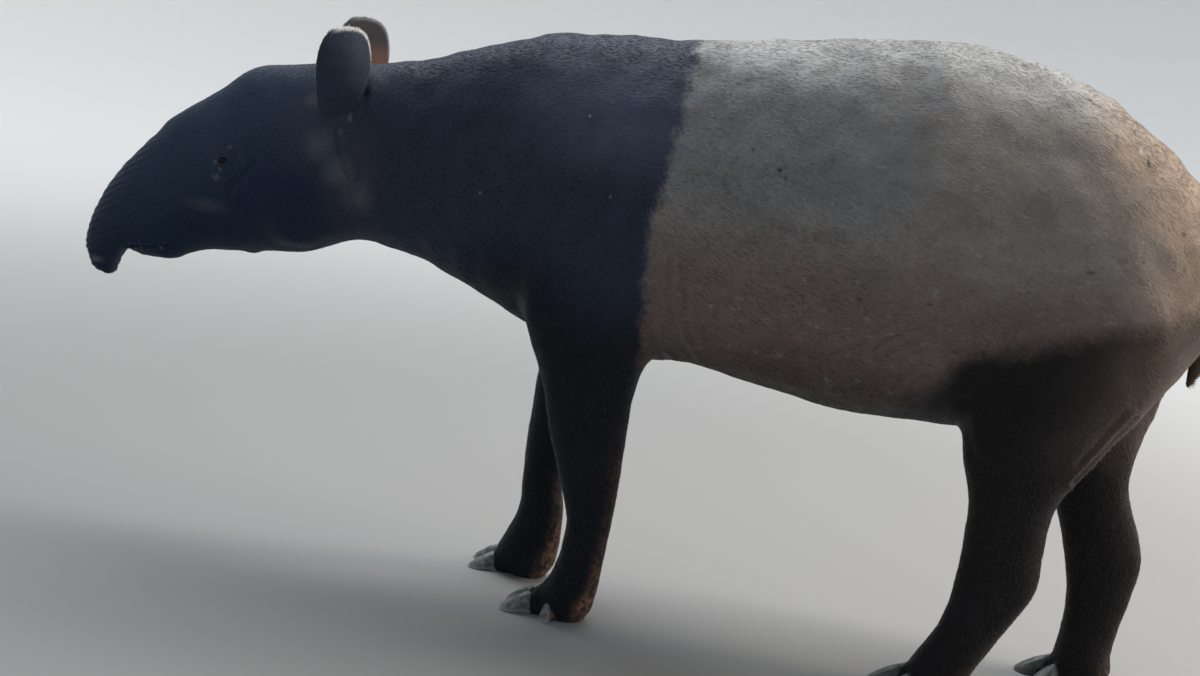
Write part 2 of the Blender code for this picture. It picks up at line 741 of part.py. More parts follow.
def eye_matrix(side):
    """The eye's own axes: +Z out of the head, +X along the lids."""
    out = Vector((EYE_LOOKS[0], side * EYE_LOOKS[1], EYE_LOOKS[2])).normalized()
    along = Vector((-1.0, 0.0, 0.0))
    along = (along - out * along.dot(out)).normalized()
    up = out.cross(along)
    turn = Matrix((along, up, out)).transposed().to_4x4()
    centre = Vector((EYE_CENTRE[0], side * EYE_CENTRE[1], EYE_CENTRE[2]))
    return Matrix.Translation(centre) @ turn


def eyeball(name, side, look, collection):
    obj = ball(name, (0, 0, 0), (EYE_RADIUS,) * 3, collection, sides=SMALL_BALL_SIDES)
    obj.data.transform(eye_matrix(side))
    obj.data.materials.append(look)
    return obj


def lids(side, helpers):
    """An almond-shaped ring, the upper and the lower lid, that stands round the eye."""
    bm = bmesh.new()
    rows = []
    for i in range(LID_STEPS):
        turn = 2.0 * math.pi * i / LID_STEPS
        along = math.cos(turn)
        across = math.sin(turn) * LID_OPENING
        outward = Vector((along, across, 0.0)).normalized()
        middle = Vector((along * LID_REACH, across * LID_REACH, LID_OUT)) + outward * LID_AWAY
        row = []
        for k in range(LID_SIDES):
            bend = 2.0 * math.pi * k / LID_SIDES
            height = math.sin(bend) * LID_THICKNESS - math.cos(bend) * LID_SINK
            across_lid = outward * math.cos(bend) * LID_WIDTH
            row.append(bm.verts.new(middle + across_lid + Vector((0.0, 0.0, height))))
        rows.append(row)
    for row, after in zip(rows, rows[1:] + rows[:1]):
        for k in range(LID_SIDES):
            beside = (k + 1) % LID_SIDES
            bm.faces.new((row[k], after[k], after[beside], row[beside]))
    tilt = Matrix.Rotation(LID_TILT * -side, 4, "Z")
    bmesh.ops.transform(bm, matrix=eye_matrix(side) @ tilt, verts=bm.verts)
    bmesh.ops.recalc_face_normals(bm, faces=bm.faces)
    return new_object("lids", bm, helpers)


def head_half_width(x, z):
    """Half of the head's width at a height, read off its sections."""
    sections = [Section(*row) for row in TRUNK_SECTIONS]
    ahead = max(s for s in range(len(sections) - 1) if sections[s].back_x >= x)
    first, second = sections[ahead], sections[ahead + 1]
    share = (first.back_x - x) / (first.back_x - second.back_x)
    row = np.array(first) * (1 - share) + np.array(second) * share
    section = Section(*row)
    height = (z - section.back_z) / (section.fore_z - section.back_z)
    if height > section.widest:
        along = (height - section.widest) / (1.0 - section.widest)
        power = section.round_fore
    else:
        along = (section.widest - height) / section.widest
        power = section.round_back
    return section.half * max(0.0, 1.0 - along**power) ** (1.0 / power)


def mouth_groove(side, helpers):
    """A thin blade that follows the mouth line and cuts into the side of the muzzle."""
    rows = np.array(MOUTH_LINE)
    bm = bmesh.new()
    rings = []
    for i in range(MOUTH_STEPS + 1):
        share = i / MOUTH_STEPS
        fade = 1.0 - share / 2.0
        x, z = curve_row(rows, share)
        surface = head_half_width(max(x, MUZZLE_END), z)
        inner = side * (surface - MOUTH_DEPTH * fade)
        outer = side * (surface + MOUTH_PAST)
        rings.append(
            [
                bm.verts.new((x, inner, z - MOUTH_INSIDE * fade)),
                bm.verts.new((x, outer, z - MOUTH_OUTSIDE * fade)),
                bm.verts.new((x, outer, z + MOUTH_OUTSIDE * fade)),
                bm.verts.new((x, inner, z + MOUTH_INSIDE * fade)),
            ]
        )
    for first, second in zip(rings, rings[1:]):
        for k in range(4):
            after = (k + 1) % 4
            bm.faces.new((first[k], second[k], second[after], first[after]))
    bm.faces.new(rings[0])
    bm.faces.new(rings[-1])
    bmesh.ops.recalc_face_normals(bm, faces=bm.faces)
    return new_object("mouth_groove", bm, helpers)


def nostril(side, helpers):
    centre = (NOSTRIL_CENTRE[0], side * NOSTRIL_CENTRE[1], NOSTRIL_CENTRE[2])
    turn = Matrix.Rotation(NOSTRIL_PITCH, 4, "Y")
    return ball("nostril", centre, NOSTRIL_RADII, helpers, turn, SMALL_BALL_SIDES)


def ear(name, side, look, collection):
    """A cupped ear: each level is a crescent, which closes to a solid root."""
    rows = np.array(EAR_SHAPE)
    bm, places = ringed_sphere(EAR_DETAIL)
    for vert, ring, turn in places:
        place = (ring - 1) / (EAR_DETAIL.rings - 1)
        height, half, bulge, hollow, shift = curve_row(rows, place)
        if ring in (0, EAR_DETAIL.rings + 1):
            vert.co = Vector((0.0, shift + bulge * (1.0 + hollow) / 2.0, height))
            continue
        bend = abs(math.sin(turn))
        back = bulge * bend**2 + EAR_RIM / 2.0 * math.sqrt(bend)
        front = bulge * hollow * bend**2 - EAR_RIM / 2.0 * math.sqrt(bend)
        depth = back if turn > 0.0 else front
        vert.co = Vector((half * math.cos(turn), shift + depth, height))
    bmesh.ops.recalc_face_normals(bm, faces=bm.faces)
    obj = new_object(name, bm, collection)
    obj.data.transform(ear_matrix(side))
    obj.data.materials.append(look)
    return obj


def ear_matrix(side):
    """The ear's own axes: +Y is its convex back, +Z its tip."""
    pose = EAR_POSES[side]
    lean_out = side * math.sin(math.radians(pose.lean_out))
    lean_back = math.sin(math.radians(pose.lean_back))
    turned = math.radians(pose.turn)
    back = Vector((math.sin(turned), side * math.cos(turned), 0.0))
    tip = Vector((lean_back, lean_out, 1.0)).normalized()
    back = (back - tip * back.dot(tip)).normalized()
    across = back.cross(tip)
    turn = Matrix((across, back, tip)).transposed().to_4x4()
    root = Vector((EAR_ROOT[0] - pose.forward, side * EAR_ROOT[1], EAR_ROOT[2]))
    return Matrix.Translation(root) @ turn @ Matrix.Scale(pose.size, 4)


def build():
    clear_scene()
    collection = new_collection("malayan_tapir")
    helpers = new_collection("malayan_tapir_helpers")
    helpers.hide_render = True
    black = material("black_coat", BLACK_COAT, COAT_ROUGHNESS)
    pale = material("pale_coat", PALE_COAT, COAT_ROUGHNESS)
    ear_look = material("ear_coat", EAR_COAT, COAT_ROUGHNESS)
    horn = material("horn", HORN, HORN_ROUGHNESS)
    eye_look = material("eye", EYE_DARK, EYE_ROUGHNESS)
    materials = {name: black for name in PIECE_MIDDLES}
    materials["torso"] = pale

    body = whole_body(helpers)
    nodes = part_body(body, materials, collection, helpers)

    head = nodes["head"]
    combine(head, [lids(side, helpers) for side in (LEFT, RIGHT)], "UNION", helpers)
    combine(head, [mouth_groove(side, helpers) for side in (LEFT, RIGHT)], "DIFFERENCE", helpers)
    keep_largest(head)
    eyes = []
    ears = []
    for side, word in ((LEFT, "left"), (RIGHT, "right")):
        eyes.append(eyeball(f"eye_{word}", side, eye_look, collection))
        ears.append(ear(f"ear_{word}", side, ear_look, collection))
    seat(head, eyes + ears, helpers)

    proboscis = nodes["proboscis"]
    combine(proboscis, [nostril(side, helpers) for side in (LEFT, RIGHT)], "DIFFERENCE", helpers)
    keep_largest(proboscis)

    for foot in FEET:
        hooves = [hoof(foot, toe, horn, collection) for toe in toes_of(foot)]
        seat(nodes["foot_" + foot.name], hooves, helpers)

    tail = loft("tail", TAIL_SECTIONS, TAIL_DETAIL, collection)
    tail.data.materials.append(black)
    seat(nodes["torso"], [tail], helpers)

    for obj in collection.objects:
        obj.data.shade_smooth()


build()
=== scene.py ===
"""The looks of a life-size Malayan tapir model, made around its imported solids.

Metres, +Z up. The animal faces -X, its left side is -Y, and the floor is Z = 0.
One skin replaces the solids of flesh, and short hair lies over it in fine tufts. The eyes and
the hooves are pieces of their own.
"""
import math
from collections import namedtuple

import bmesh
import bpy
import numpy as np
from mathutils import Matrix, Vector
from mathutils.bvhtree import BVHTree


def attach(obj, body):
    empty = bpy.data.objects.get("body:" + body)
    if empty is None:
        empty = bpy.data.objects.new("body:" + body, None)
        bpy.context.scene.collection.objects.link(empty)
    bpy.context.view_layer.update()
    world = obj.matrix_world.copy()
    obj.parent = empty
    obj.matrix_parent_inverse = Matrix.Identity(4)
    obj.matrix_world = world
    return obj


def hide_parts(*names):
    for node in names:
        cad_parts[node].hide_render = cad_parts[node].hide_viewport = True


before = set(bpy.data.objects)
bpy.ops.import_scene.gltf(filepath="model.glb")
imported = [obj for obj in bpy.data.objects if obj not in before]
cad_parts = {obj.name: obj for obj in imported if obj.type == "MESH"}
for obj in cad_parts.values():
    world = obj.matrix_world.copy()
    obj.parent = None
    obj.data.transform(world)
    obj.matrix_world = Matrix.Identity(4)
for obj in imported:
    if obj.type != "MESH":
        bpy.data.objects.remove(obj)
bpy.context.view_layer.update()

LEFT = -1
RIGHT = 1

# Camera: its place, the way it faces, how far it looks down and how far it is rolled
CAMERA_PLACE = (0.143, -2.891, 1.0)
CAMERA_TURN = math.radians(4)
CAMERA_DOWN = math.radians(10)
CAMERA_ROLL = math.radians(9)
CAMERA_LENS = 50

# Skin: the cells that it is rebuilt from, how often it is smoothed, the x ahead of which it keeps
# all its triangles, how many it keeps behind that, and how far round a fold it keeps them too
SKIN_CELL = 0.004
SMOOTH_PASSES = 90
HEAD_STARTS = -0.47
BODY_TRIANGLES = 42000
CREASE_REACH = 0.015

# Where the mesh is split finer: how far round the eyes, once for each, and round the line of the
# mouth, and the bounds in x and z of the mouth and of the proboscis
EYES_FINE = (0.036, 0.028, 0.017)
MOUTH_FINE = 0.014
MOUTH_ENDS = -0.78
PROBOSCIS_ENDS = -0.895
PROBOSCIS_TOP = 0.8

# Over which heights the trunk becomes leg and the leg becomes foot, and over which x the neck
# becomes head and the head becomes muzzle
LEG_TOPS = (0.4, 0.56)
FOOT_TOPS = (0.075, 0.125)
HEAD_ENDS = (-0.54, -0.42)
MUZZLE_ENDS = (0.74, 0.86)

# Low waves of the hide over the trunk: their length, height and seed
Waves = namedtuple("Waves", "length height seed")
HIDE_WAVES = [Waves(0.11, 0.0011, 3), Waves(0.048, 0.0007, 5)]
WAVE_COUNT = 18

# How deep the skin lies under the solids' surface, on the body, the head and the feet, and the
# height under which it isn't moved, so that the soles stay on the floor
BODY_DEPTH = 0.0018
HEAD_DEPTH = 0.001
FOOT_DEPTH = 0.0012
SOLE_HEIGHT = 0.004

# Eyes, as in the solids, how much smaller each ball is, and how far its cornea stands out
EYE_CENTRE = (-0.744, 0.0688, 0.698)
EYE_LOOKS = (-0.24, 1.0, 0.05)
EYE_RADIUS = 0.014
EYE_TILT = math.radians(14)
EYE_GAP = 0.0002
CORNEA_RISE = 0.001

# Lids: half length and half height of their opening, their thickness over the eye, and the
# crease round them
LID_LONG = 0.0086
LID_HIGH = 0.0056
LID_THICK = 0.0016
LID_EDGE = 1.45
LID_FADE = 2.3
LID_CREASE = 0.0011
SOCKET_DEPTH = 0.005

# Earth on the backs of the legs: over which heights it ends, on the leg and on the heel, and over
# which x it becomes thinner, from the front legs to the hind legs
MUD_TOPS = (0.26, 0.44)
HEEL_TOPS = (0.035, 0.075)
FRONT_ENDS = (0.2, 0.45)

# Ears, as in the solids: their root, and how many degrees each is turned forward and leans, its
# size and how far its root lies forward of the other's
EAR_ROOT = (-0.556, 0.074, 0.8)
EAR_RIM = 0.003
EarPose = namedtuple("EarPose", "turn lean_out lean_back size forward")
EAR_POSES = {LEFT: EarPose(44, 11, 0, 1.04, -0.002), RIGHT: EarPose(18, 4, 1, 1.15, 0.014)}
EAR_RINGS = 40
EAR_SIDES = 56

# What lies on an ear, in its own axes: half width, middle and half depth, lowest and full height
EAR_HALF_WIDTH = 0.062
EAR_MIDDLE = 0.012
EAR_HALF_DEPTH = 0.032
EAR_LOWEST = 0.018
EAR_HEIGHT = 0.16

# The root under each ear, which fills the seat that the solids cut for it, the height at which
# the solid ear is cut off to help fill it, and how far round it the skin is smoothed
EAR_BASE = (-0.556, 0.06, 0.812)
EAR_BASE_RADII = (0.04, 0.032, 0.04)
EAR_STUMP = 0.026
EAR_CALM = 0.07

# The joint of each ear with the skin: how far over the ear's root its middle is, the radii within
# which it is smoothed, and how often
EAR_JOINT_UP = 0.01
EAR_JOINT_RADII = (0.05, 0.05, 0.028)
EAR_JOINT_PASSES = 16

# The white edge of each ear: its width, the heights over which it begins, and how far forward of
# the ear's middle it ends, in the ear's own axes
RIM_WHITE = 0.0062
RIM_STARTS = (0.08, 0.114)
RIM_ENDS = (0.012, 0.032)

# The ear's levels: height, half width, bulge of the back, share of the bulge that is hollow, and
# shift to the back
EAR_SHAPE = [
    (-0.028, 0.014, 0.014, -1.0, -0.03),
    (-0.006, 0.024, 0.022, -0.9, -0.016),
    (0.022, 0.041, 0.028, 0.0, -0.002),
    (0.055, 0.048, 0.033, 0.7, 0.0),
    (0.085, 0.0505, 0.03, 0.8, 0.0),
    (0.112, 0.0485, 0.023, 0.8, 0.0),
    (0.134, 0.041, 0.013, 0.72, 0.0),
    (0.148, 0.027, 0.005, 0.5, 0.0),
    (0.153, 0.0085, 0.002, 0.0, 0.0),
]

# Forms that swell or sink the skin: centre, radii, height (less than 0 sinks it). A form off the
# middle plane stands on both sides
Form = namedtuple("Form", "centre radii height")
FORMS = [Form(*row) for row in [
    ((-0.69, 0.085, 0.69), (0.045, 0.05, 0.012), 0.0018),
    ((-0.56, 0.09, 0.7), (0.06, 0.06, 0.07), 0.0025),
    ((-0.79, 0.06, 0.64), (0.05, 0.05, 0.02), 0.0022),
    ((-0.5, 0.09, 0.66), (0.02, 0.06, 0.08), -0.0035),
    ((-0.15, 0.18, 0.82), (0.05, 0.08, 0.14), 0.004),
    ((-0.06, 0.19, 0.76), (0.03, 0.08, 0.14), -0.004),
    ((0.01, 0.2, 0.62), (0.05, 0.1, 0.09), 0.0035),
    ((0.56, 0.2, 0.54), (0.04, 0.1, 0.1), -0.005),
    ((0.72, 0.2, 0.78), (0.1, 0.12, 0.11), 0.004),
    ((0.87, 0.15, 0.76), (0.035, 0.12, 0.12), -0.004),
]]

# Folds and creases, as they run in the side view (x, z): half width, depth, the roll beside
# them, and the side they are on (0 is both)
Crease = namedtuple("Crease", "path width depth roll side", defaults=(0,))
CREASES = [Crease(*row) for row in [
    ([(-0.925, 0.512), (-0.9, 0.518), (-0.868, 0.524), (-0.838, 0.531)], 0.0022, 0.0042, 0.001),
    ([(-0.838, 0.531), (-0.815, 0.54), (-0.802, 0.556)], 0.004, 0.0014, 0.0005),
    ([(-0.731, 0.717), (-0.722, 0.711), (-0.712, 0.7)], 0.003, 0.0012, 0.0007),
    ([(-0.685, 0.705), (-0.705, 0.675), (-0.727, 0.645)], 0.006, 0.0022, 0.001),
    ([(-0.757, 0.672), (-0.742, 0.668), (-0.728, 0.676)], 0.003, 0.0011, 0.0006),
    ([(-0.84, 0.64), (-0.81, 0.652), (-0.775, 0.655)], 0.007, 0.0018, 0.0008),
    ([(-0.545, 0.785), (-0.538, 0.755), (-0.515, 0.715)], 0.005, 0.0022, 0.0014),
    ([(-0.512, 0.85), (-0.507, 0.825), (-0.508, 0.8)], 0.005, 0.0016, 0.001),
    ([(0.4, 0.588), (0.425, 0.612), (0.462, 0.63)], 0.005, 0.0026, 0.0014),
    ([(0.445, 0.5), (0.452, 0.535), (0.466, 0.562)], 0.006, 0.0024, 0.0014),
    ([(0.33, 0.56), (0.375, 0.585), (0.4, 0.588)], 0.006, 0.0014, 0.0008),
    ([(0.052, 0.67), (0.06, 0.61), (0.08, 0.55), (0.11, 0.5)], 0.006, 0.002, 0.001),
    ([(0.082, 0.64), (0.092, 0.58), (0.112, 0.53)], 0.006, 0.0013, 0.0008),
    ([(0.035, 0.56), (0.05, 0.51), (0.075, 0.47)], 0.007, 0.003, 0.0016),
    ([(0.56, 0.52), (0.57, 0.47), (0.59, 0.43)], 0.009, 0.003, 0.0016, LEFT),
    ([(0.828, 0.54), (0.806, 0.499), (0.785, 0.46), (0.76, 0.415)], 0.005, 0.0028, 0.0022, LEFT),
    ([(0.805, 0.545), (0.782, 0.5), (0.76, 0.455)], 0.006, 0.0018, 0.0012, LEFT),
]]

# Nostrils in the end of the proboscis
NOSTRIL_CENTRE = (-0.988, 0.0165, 0.474)
NOSTRIL_RADII = (0.0052, 0.0085, 0.016)
NOSTRIL_DEPTH = 0.007

# Rings of folded skin across the proboscis
RING_STEP = 0.0105
RING_HEIGHT = 0.00055

# Coat: the tufts on each square metre, their length, width and how far their tips stand off the
# skin, on the body, legs, head, muzzle, feet and ears
Hair = namedtuple("Hair", "dense length width stand")
BODY_HAIR = Hair(44000, 0.0115, 0.0014, 0.0006)
LEG_HAIR = Hair(58000, 0.01, 0.0014, 0.0009)
HEAD_HAIR = Hair(90000, 0.0075, 0.0011, 0.0006)
MUZZLE_HAIR = Hair(130000, 0.005, 0.001, 0.0006)
FOOT_HAIR = Hair(110000, 0.007, 0.0013, 0.001)
EAR_HAIR = Hair(140000, 0.0055, 0.001, 0.0005)

# Each tuft: how deep its root is, how far along it and how thick (by its width) its belly is, how
# much the tufts turn, in radians, the lowest point of any, its patch of the map, and the seed
HAIR_ROOT = 0.0008
HAIR_BELLY = 0.32
HAIR_THICK = 0.12
HAIR_TURN = 0.22
HAIR_LOWEST = 0.0004
MAP_PATCH = 0.003
SEED = 20260

# White hairs on the lips: their share, how far from the mouth's line and up to which x
LIP_HAIR_SHARE = 0.12
LIP_REACH = 0.007
LIPS_END = -0.85

# Pieces of the coat: where each part of the trunk begins, and the top of the legs' pieces
TRUNK_PARTS = (("shoulder", -0.2), ("flank", 0.16), ("loin", 0.42), ("rump", 0.68))
LEG_COAT_TOP = 0.44

# Hooves: the cells they are rebuilt from, how often they are smoothed, the height under which
# that is done at a smaller share, the height under which tufts keep off them, and by how much
HOOF_CELL = 0.0015
HOOF_PASSES = 14
HOOF_SOLE = 0.0012
HOOF_SOLE_SHARE = 0.15
HOOF_TOP = 0.06
HOOF_CLEAR = 0.0035

# Where the markings change: the front edge of the pale saddle at its hindmost dip, and the slope
# and start of two edges of the hind part's black, its top (z by x) and its front (x by z)
SADDLE_FRONT = 0.0077
HIND_TOP = (0.36, 0.40416)
HIND_FRONT = (0.45, 0.265)

# Colours of the black parts; the blue in them is painted bluish skylight
BLACK_HEAD = (0.0072, 0.0185, 0.043)
# Painted light: the top of the head paler, as if lit from above
BLACK_CROWN_LIT = (0.028, 0.046, 0.074)
BLACK_TEMPLE = (0.042, 0.052, 0.076)
BLACK_SKYLIGHT_BLUE = (0.0215, 0.0285, 0.052)
# Dust with a painted highlight on the top of the shoulder
BLACK_SHOULDER_DUST_AND_HIGHLIGHT = (0.08, 0.089, 0.13)
# Painted shade on the chest between the front legs
BLACK_CHEST_SHADE = (0.002, 0.003, 0.008)
BLACK_EAR = (0.025, 0.036, 0.06)
# Darker black of the lower body and legs: painted shade underneath
BLACK_LEG_SHADED = (0.006, 0.007, 0.0105)
BLACK_HIND = (0.011, 0.0088, 0.009)
BLACK_DUSTY = (0.048, 0.049, 0.06)
# Brown of the buttocks, partly painted warm light from behind
BUTTOCK_BROWN_AND_WARM_LIGHT = (0.08, 0.058, 0.047)

# Colours of the saddle
# Painted light: the top of the back is paler, as if lit from above
SADDLE_TOP_LIT = (0.4, 0.4, 0.39)
# Painted sheen: a bluish reflection of the sky on the upper flank
SADDLE_SKY_SHEEN = (0.18, 0.188, 0.193)
SADDLE_GREY = (0.225, 0.207, 0.192)
SADDLE_LOW = (0.155, 0.114, 0.104)
# Painted shade: the belly darker beneath the body
SADDLE_BELLY_SHADE = (0.078, 0.052, 0.048)
SADDLE_HIP = (0.095, 0.07, 0.063)
# Tan of the rump, partly painted warm light from behind
SADDLE_RUMP_TAN_AND_WARM_LIGHT = (0.35, 0.262, 0.198)

# Colours of small places
WHITE_HAIR = (0.62, 0.61, 0.6)
MUD = (0.095, 0.048, 0.034)
MUD_PALE = (0.42, 0.215, 0.12)
EAR_PINK = (0.6, 0.3, 0.22)
EAR_GREY = (0.2, 0.165, 0.15)
SCAR = (0.03, 0.022, 0.018)
FLECK = (0.45, 0.44, 0.42)
GREY_SKIN = (0.125, 0.135, 0.155)
CHEEK_PALE = (0.105, 0.112, 0.132)

# Colours of the horn: its dark and pale grain, its worn edges and the hind hooves
HORN_DARK = (0.06, 0.068, 0.062)
HORN_PALE = (0.175, 0.19, 0.172)
HORN_EDGE = (0.34, 0.35, 0.315)
HORN_HIND = (0.035, 0.038, 0.037)

# Mottling of the saddle: the noise's scale, where each patch begins and is full, its share and
# its colour
SADDLE_MOTTLE = [
    (5.5, 0.46, 0.64, 0.34, (0.12, 0.108, 0.1)),
    (13.0, 0.5, 0.68, 0.38, (0.11, 0.097, 0.09)),
    (30.0, 0.54, 0.7, 0.3, (0.095, 0.083, 0.078)),
    (44.0, 0.56, 0.72, 0.3, (0.4, 0.38, 0.35)),
    (85.0, 0.6, 0.72, 0.45, (0.07, 0.059, 0.055)),
]

# Small marks: centre, radii, colour and how strong
Mark = namedtuple("Mark", "centre radii colour share")
MARKS = [Mark(*row) for row in [
    ((-0.7596, -0.0786, 0.6934), (0.007, 0.03, 0.006), GREY_SKIN, 0.9),
    ((-0.7495, -0.0783, 0.6828), (0.006, 0.03, 0.005), GREY_SKIN, 0.9),
    ((-0.7555, -0.0766, 0.6678), (0.013, 0.03, 0.01), GREY_SKIN, 0.6),
    ((-0.7358, -0.0804, 0.7234), (0.006, 0.03, 0.005), GREY_SKIN, 0.7),
    ((-0.77, -0.07, 0.615), (0.06, 0.05, 0.02), GREY_SKIN, 0.3),
    ((-0.97, -0.03, 0.483), (0.022, 0.05, 0.01), GREY_SKIN, 0.75),
    ((-0.5305, -0.0963, 0.8069), (0.005, 0.03, 0.012), GREY_SKIN, 0.8),
    ((-0.545, -0.0963, 0.78), (0.004, 0.03, 0.014), GREY_SKIN, 0.6),
    ((-0.577, -0.095, 0.755), (0.04, 0.1, 0.04), CHEEK_PALE, 0.6),
    ((-0.538, -0.1, 0.713), (0.04, 0.1, 0.042), CHEEK_PALE, 0.6),
    ((-0.501, -0.105, 0.675), (0.04, 0.1, 0.042), CHEEK_PALE, 0.5),
    ((-0.605, -0.08, 0.825), (0.022, 0.06, 0.02), CHEEK_PALE, 0.6),
    ((-0.121, -0.162, 0.8775), (0.004, 0.02, 0.004), FLECK, 0.5),
    ((-0.065, -0.197, 0.7555), (0.004, 0.02, 0.005), FLECK, 0.4),
    ((-0.285, -0.144, 0.722), (0.004, 0.02, 0.005), FLECK, 0.3),
    ((0.197, -0.2265, 0.844), (0.007, 0.03, 0.006), SCAR, 1.0),
    ((0.208, -0.2265, 0.834), (0.005, 0.03, 0.009), SCAR, 0.7),
    ((0.15, -0.215, 0.868), (0.006, 0.03, 0.005), SCAR, 0.7),
    ((0.356, -0.24, 0.665), (0.01, 0.04, 0.004), SCAR, 0.8),
    ((0.47, -0.23, 0.695), (0.012, 0.05, 0.016), SADDLE_TOP_LIT, 0.35),
    ((0.464, -0.23, 0.675), (0.009, 0.05, 0.005), SCAR, 0.7),
    ((0.6735, -0.0997, 1.0285), (0.012, 0.03, 0.004), SCAR, 0.6),
    ((0.702, -0.233, 0.764), (0.014, 0.04, 0.006), SCAR, 0.6),
    ((0.763, -0.136, 0.9615), (0.006, 0.03, 0.009), FLECK, 0.9),
    ((0.776, -0.145, 0.945), (0.004, 0.03, 0.014), SCAR, 1.0),
    ((0.846, -0.179, 0.843), (0.007, 0.03, 0.006), SCAR, 0.7),
    ((0.854, -0.195, 0.789), (0.006, 0.03, 0.008), SCAR, 0.6),
]]

# Floor: the radius of its flat part, the radius of the bend beyond it, the bend's steps, its
# colours and the backdrop's own light
FLOOR_FLAT = 6.0
FLOOR_BEND = 3.6
FLOOR_STEPS = 14
FLOOR_NEAR = (0.25, 0.25, 0.247)
FLOOR_FAR = (0.72, 0.72, 0.71)
BACKDROP_GLOW = 0.22


def link(obj):
    bpy.context.scene.collection.objects.link(obj)
    return obj


def nodes_that(start):
    return [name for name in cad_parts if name.startswith(start)]


def object_from(bm, name):
    """A new object of the scene, from a bmesh that has no further use."""
    mesh = bpy.data.meshes.new(name)
    bm.to_mesh(mesh)
    bm.free()
    return link(bpy.data.objects.new(name, mesh))


def merged_copy(names, name, add=None):
    """One mesh from copies of CAD nodes, with their doubled corners merged, and any filling."""
    bm = bmesh.new()
    for source in names:
        bm.from_mesh(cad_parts[source].data)
    bmesh.ops.remove_doubles(bm, verts=bm.verts, dist=1e-6)
    if add:
        add(bm)
    made = object_from(bm, name)
    made.data.materials.clear()
    return made


def modify(obj, kind, weights=None, **settings):
    """Changes a mesh by a modifier, and only by its points' weights where those are given."""
    modifier = obj.modifiers.new(kind.lower(), kind)
    for key, value in settings.items():
        setattr(modifier, key, value)
    if weights is not None:
        modifier.vertex_group = weight_group(obj, weights).name
    graph = bpy.context.evaluated_depsgraph_get()
    graph.update()
    mesh = bpy.data.meshes.new_from_object(obj.evaluated_get(graph))
    old = obj.data
    obj.modifiers.clear()
    obj.vertex_groups.clear()
    obj.data = mesh
    bpy.data.meshes.remove(old)


def read_points(mesh):
    points = np.empty(len(mesh.vertices) * 3, dtype=np.float32)
    mesh.vertices.foreach_get("co", points)
    return points.reshape(-1, 3).astype(float)


def read_normals(mesh):
    normals = np.empty(len(mesh.vertices) * 3, dtype=np.float32)
    mesh.vertex_normals.foreach_get("vector", normals)
    return normals.reshape(-1, 3).astype(float)


def read_surface(mesh):
    """The place and the normal of each point."""
    return read_points(mesh), read_normals(mesh)


def write_points(mesh, points):
    mesh.vertices.foreach_set("co", points.astype(np.float32).ravel())
    mesh.update()


def step(values, low, high):
    """A smooth step from 0 at low to 1 at high."""
    share = np.clip((values - low) / (high - low), 0.0, 1.0)
    return share * share * (3.0 - 2.0 * share)


def mix(first, second, share):
    return first + (second - first) * share


def unit(rows):
    return rows / np.maximum(np.linalg.norm(rows, axis=1), 1e-9)[:, None]


def on_side(place, side):
    """A place given for the right side, on this side."""
    return np.array(place) * (1, side, 1)


def away_from(points, centre, radii, side):
    """How far each point is from a place on this side, squared, with the radii as 1."""
    return (((points - on_side(centre, side)) / radii) ** 2).sum(axis=1)


def on_legs(points):
    """1 on the legs, 0 on the trunk."""
    return 1.0 - step(points[:, 2], *LEG_TOPS)


def on_head(points):
    return 1.0 - step(points[:, 0], *HEAD_ENDS)


def on_feet(points):
    return 1.0 - step(points[:, 2], *FOOT_TOPS)


def weight_group(obj, weights):
    """A vertex group with a weight for each point, rounded to twentieths."""
    group = obj.vertex_groups.new(name="weights")
    levels = np.round(weights * 20).astype(int)
    for level in range(1, 21):
        members = np.nonzero(levels == level)[0]
        if len(members):
            group.add(members.tolist(), level / 20, "REPLACE")
    return group


def smooth_by(obj, weights, passes):
    modify(obj, "SMOOTH", weights, factor=0.5, iterations=passes)


def remesh(obj, cell):
    modify(obj, "REMESH", mode="VOXEL", voxel_size=cell)


def thin_body(obj):
    """Thins the mesh behind the head, but not close to its folds."""
    modify(obj, "TRIANGULATE")
    points = read_points(obj.data)
    inside = (points[:, 0] > HEAD_STARTS) & ~near_creases(points)
    corners = triangles_of(obj.data)
    body = inside[corners].all(axis=1).sum()
    kept = (len(corners) - body + BODY_TRIANGLES) / len(corners)
    modify(obj, "DECIMATE", inside, ratio=kept)


def sink_skin(obj):
    """Moves the skin in by the coat's depth, but leaves the soles on the floor."""
    points, normals = read_surface(obj.data)
    depth = mix(BODY_DEPTH, HEAD_DEPTH, on_head(points))
    depth = mix(depth, FOOT_DEPTH, on_feet(points))
    moved = points - normals * depth[:, None]
    moved[:, 2] = np.where(points[:, 2] < SOLE_HEIGHT, points[:, 2], moved[:, 2])
    write_points(obj.data, moved)


def hide_waves(points, waves):
    """A smooth uneven height over the body, from waves of one length in many directions."""
    rng = np.random.default_rng(waves.seed)
    ways = rng.normal(size=(WAVE_COUNT, 3))
    ways *= 2 * np.pi / waves.length / np.linalg.norm(ways, axis=1)[:, None]
    starts = rng.uniform(0, 2 * np.pi, WAVE_COUNT)
    return waves.height * np.sin(points @ ways.T + starts).sum(axis=1) / math.sqrt(WAVE_COUNT / 2)


def shape_forms(obj):
    """Swells and sinks the skin at each form, with low waves over the trunk."""
    points, normals = read_surface(obj.data)
    trunk = (1.0 - 0.7 * on_head(points)) * (1.0 - 0.6 * on_legs(points)) * (1.0 - on_feet(points))
    rise = sum(hide_waves(points, waves) for waves in HIDE_WAVES) * trunk
    for form in FORMS:
        for side in (LEFT, RIGHT):
            rise += form.height * np.exp(-away_from(points, form.centre, form.radii, side))
    write_points(obj.data, points + normals * rise[:, None])


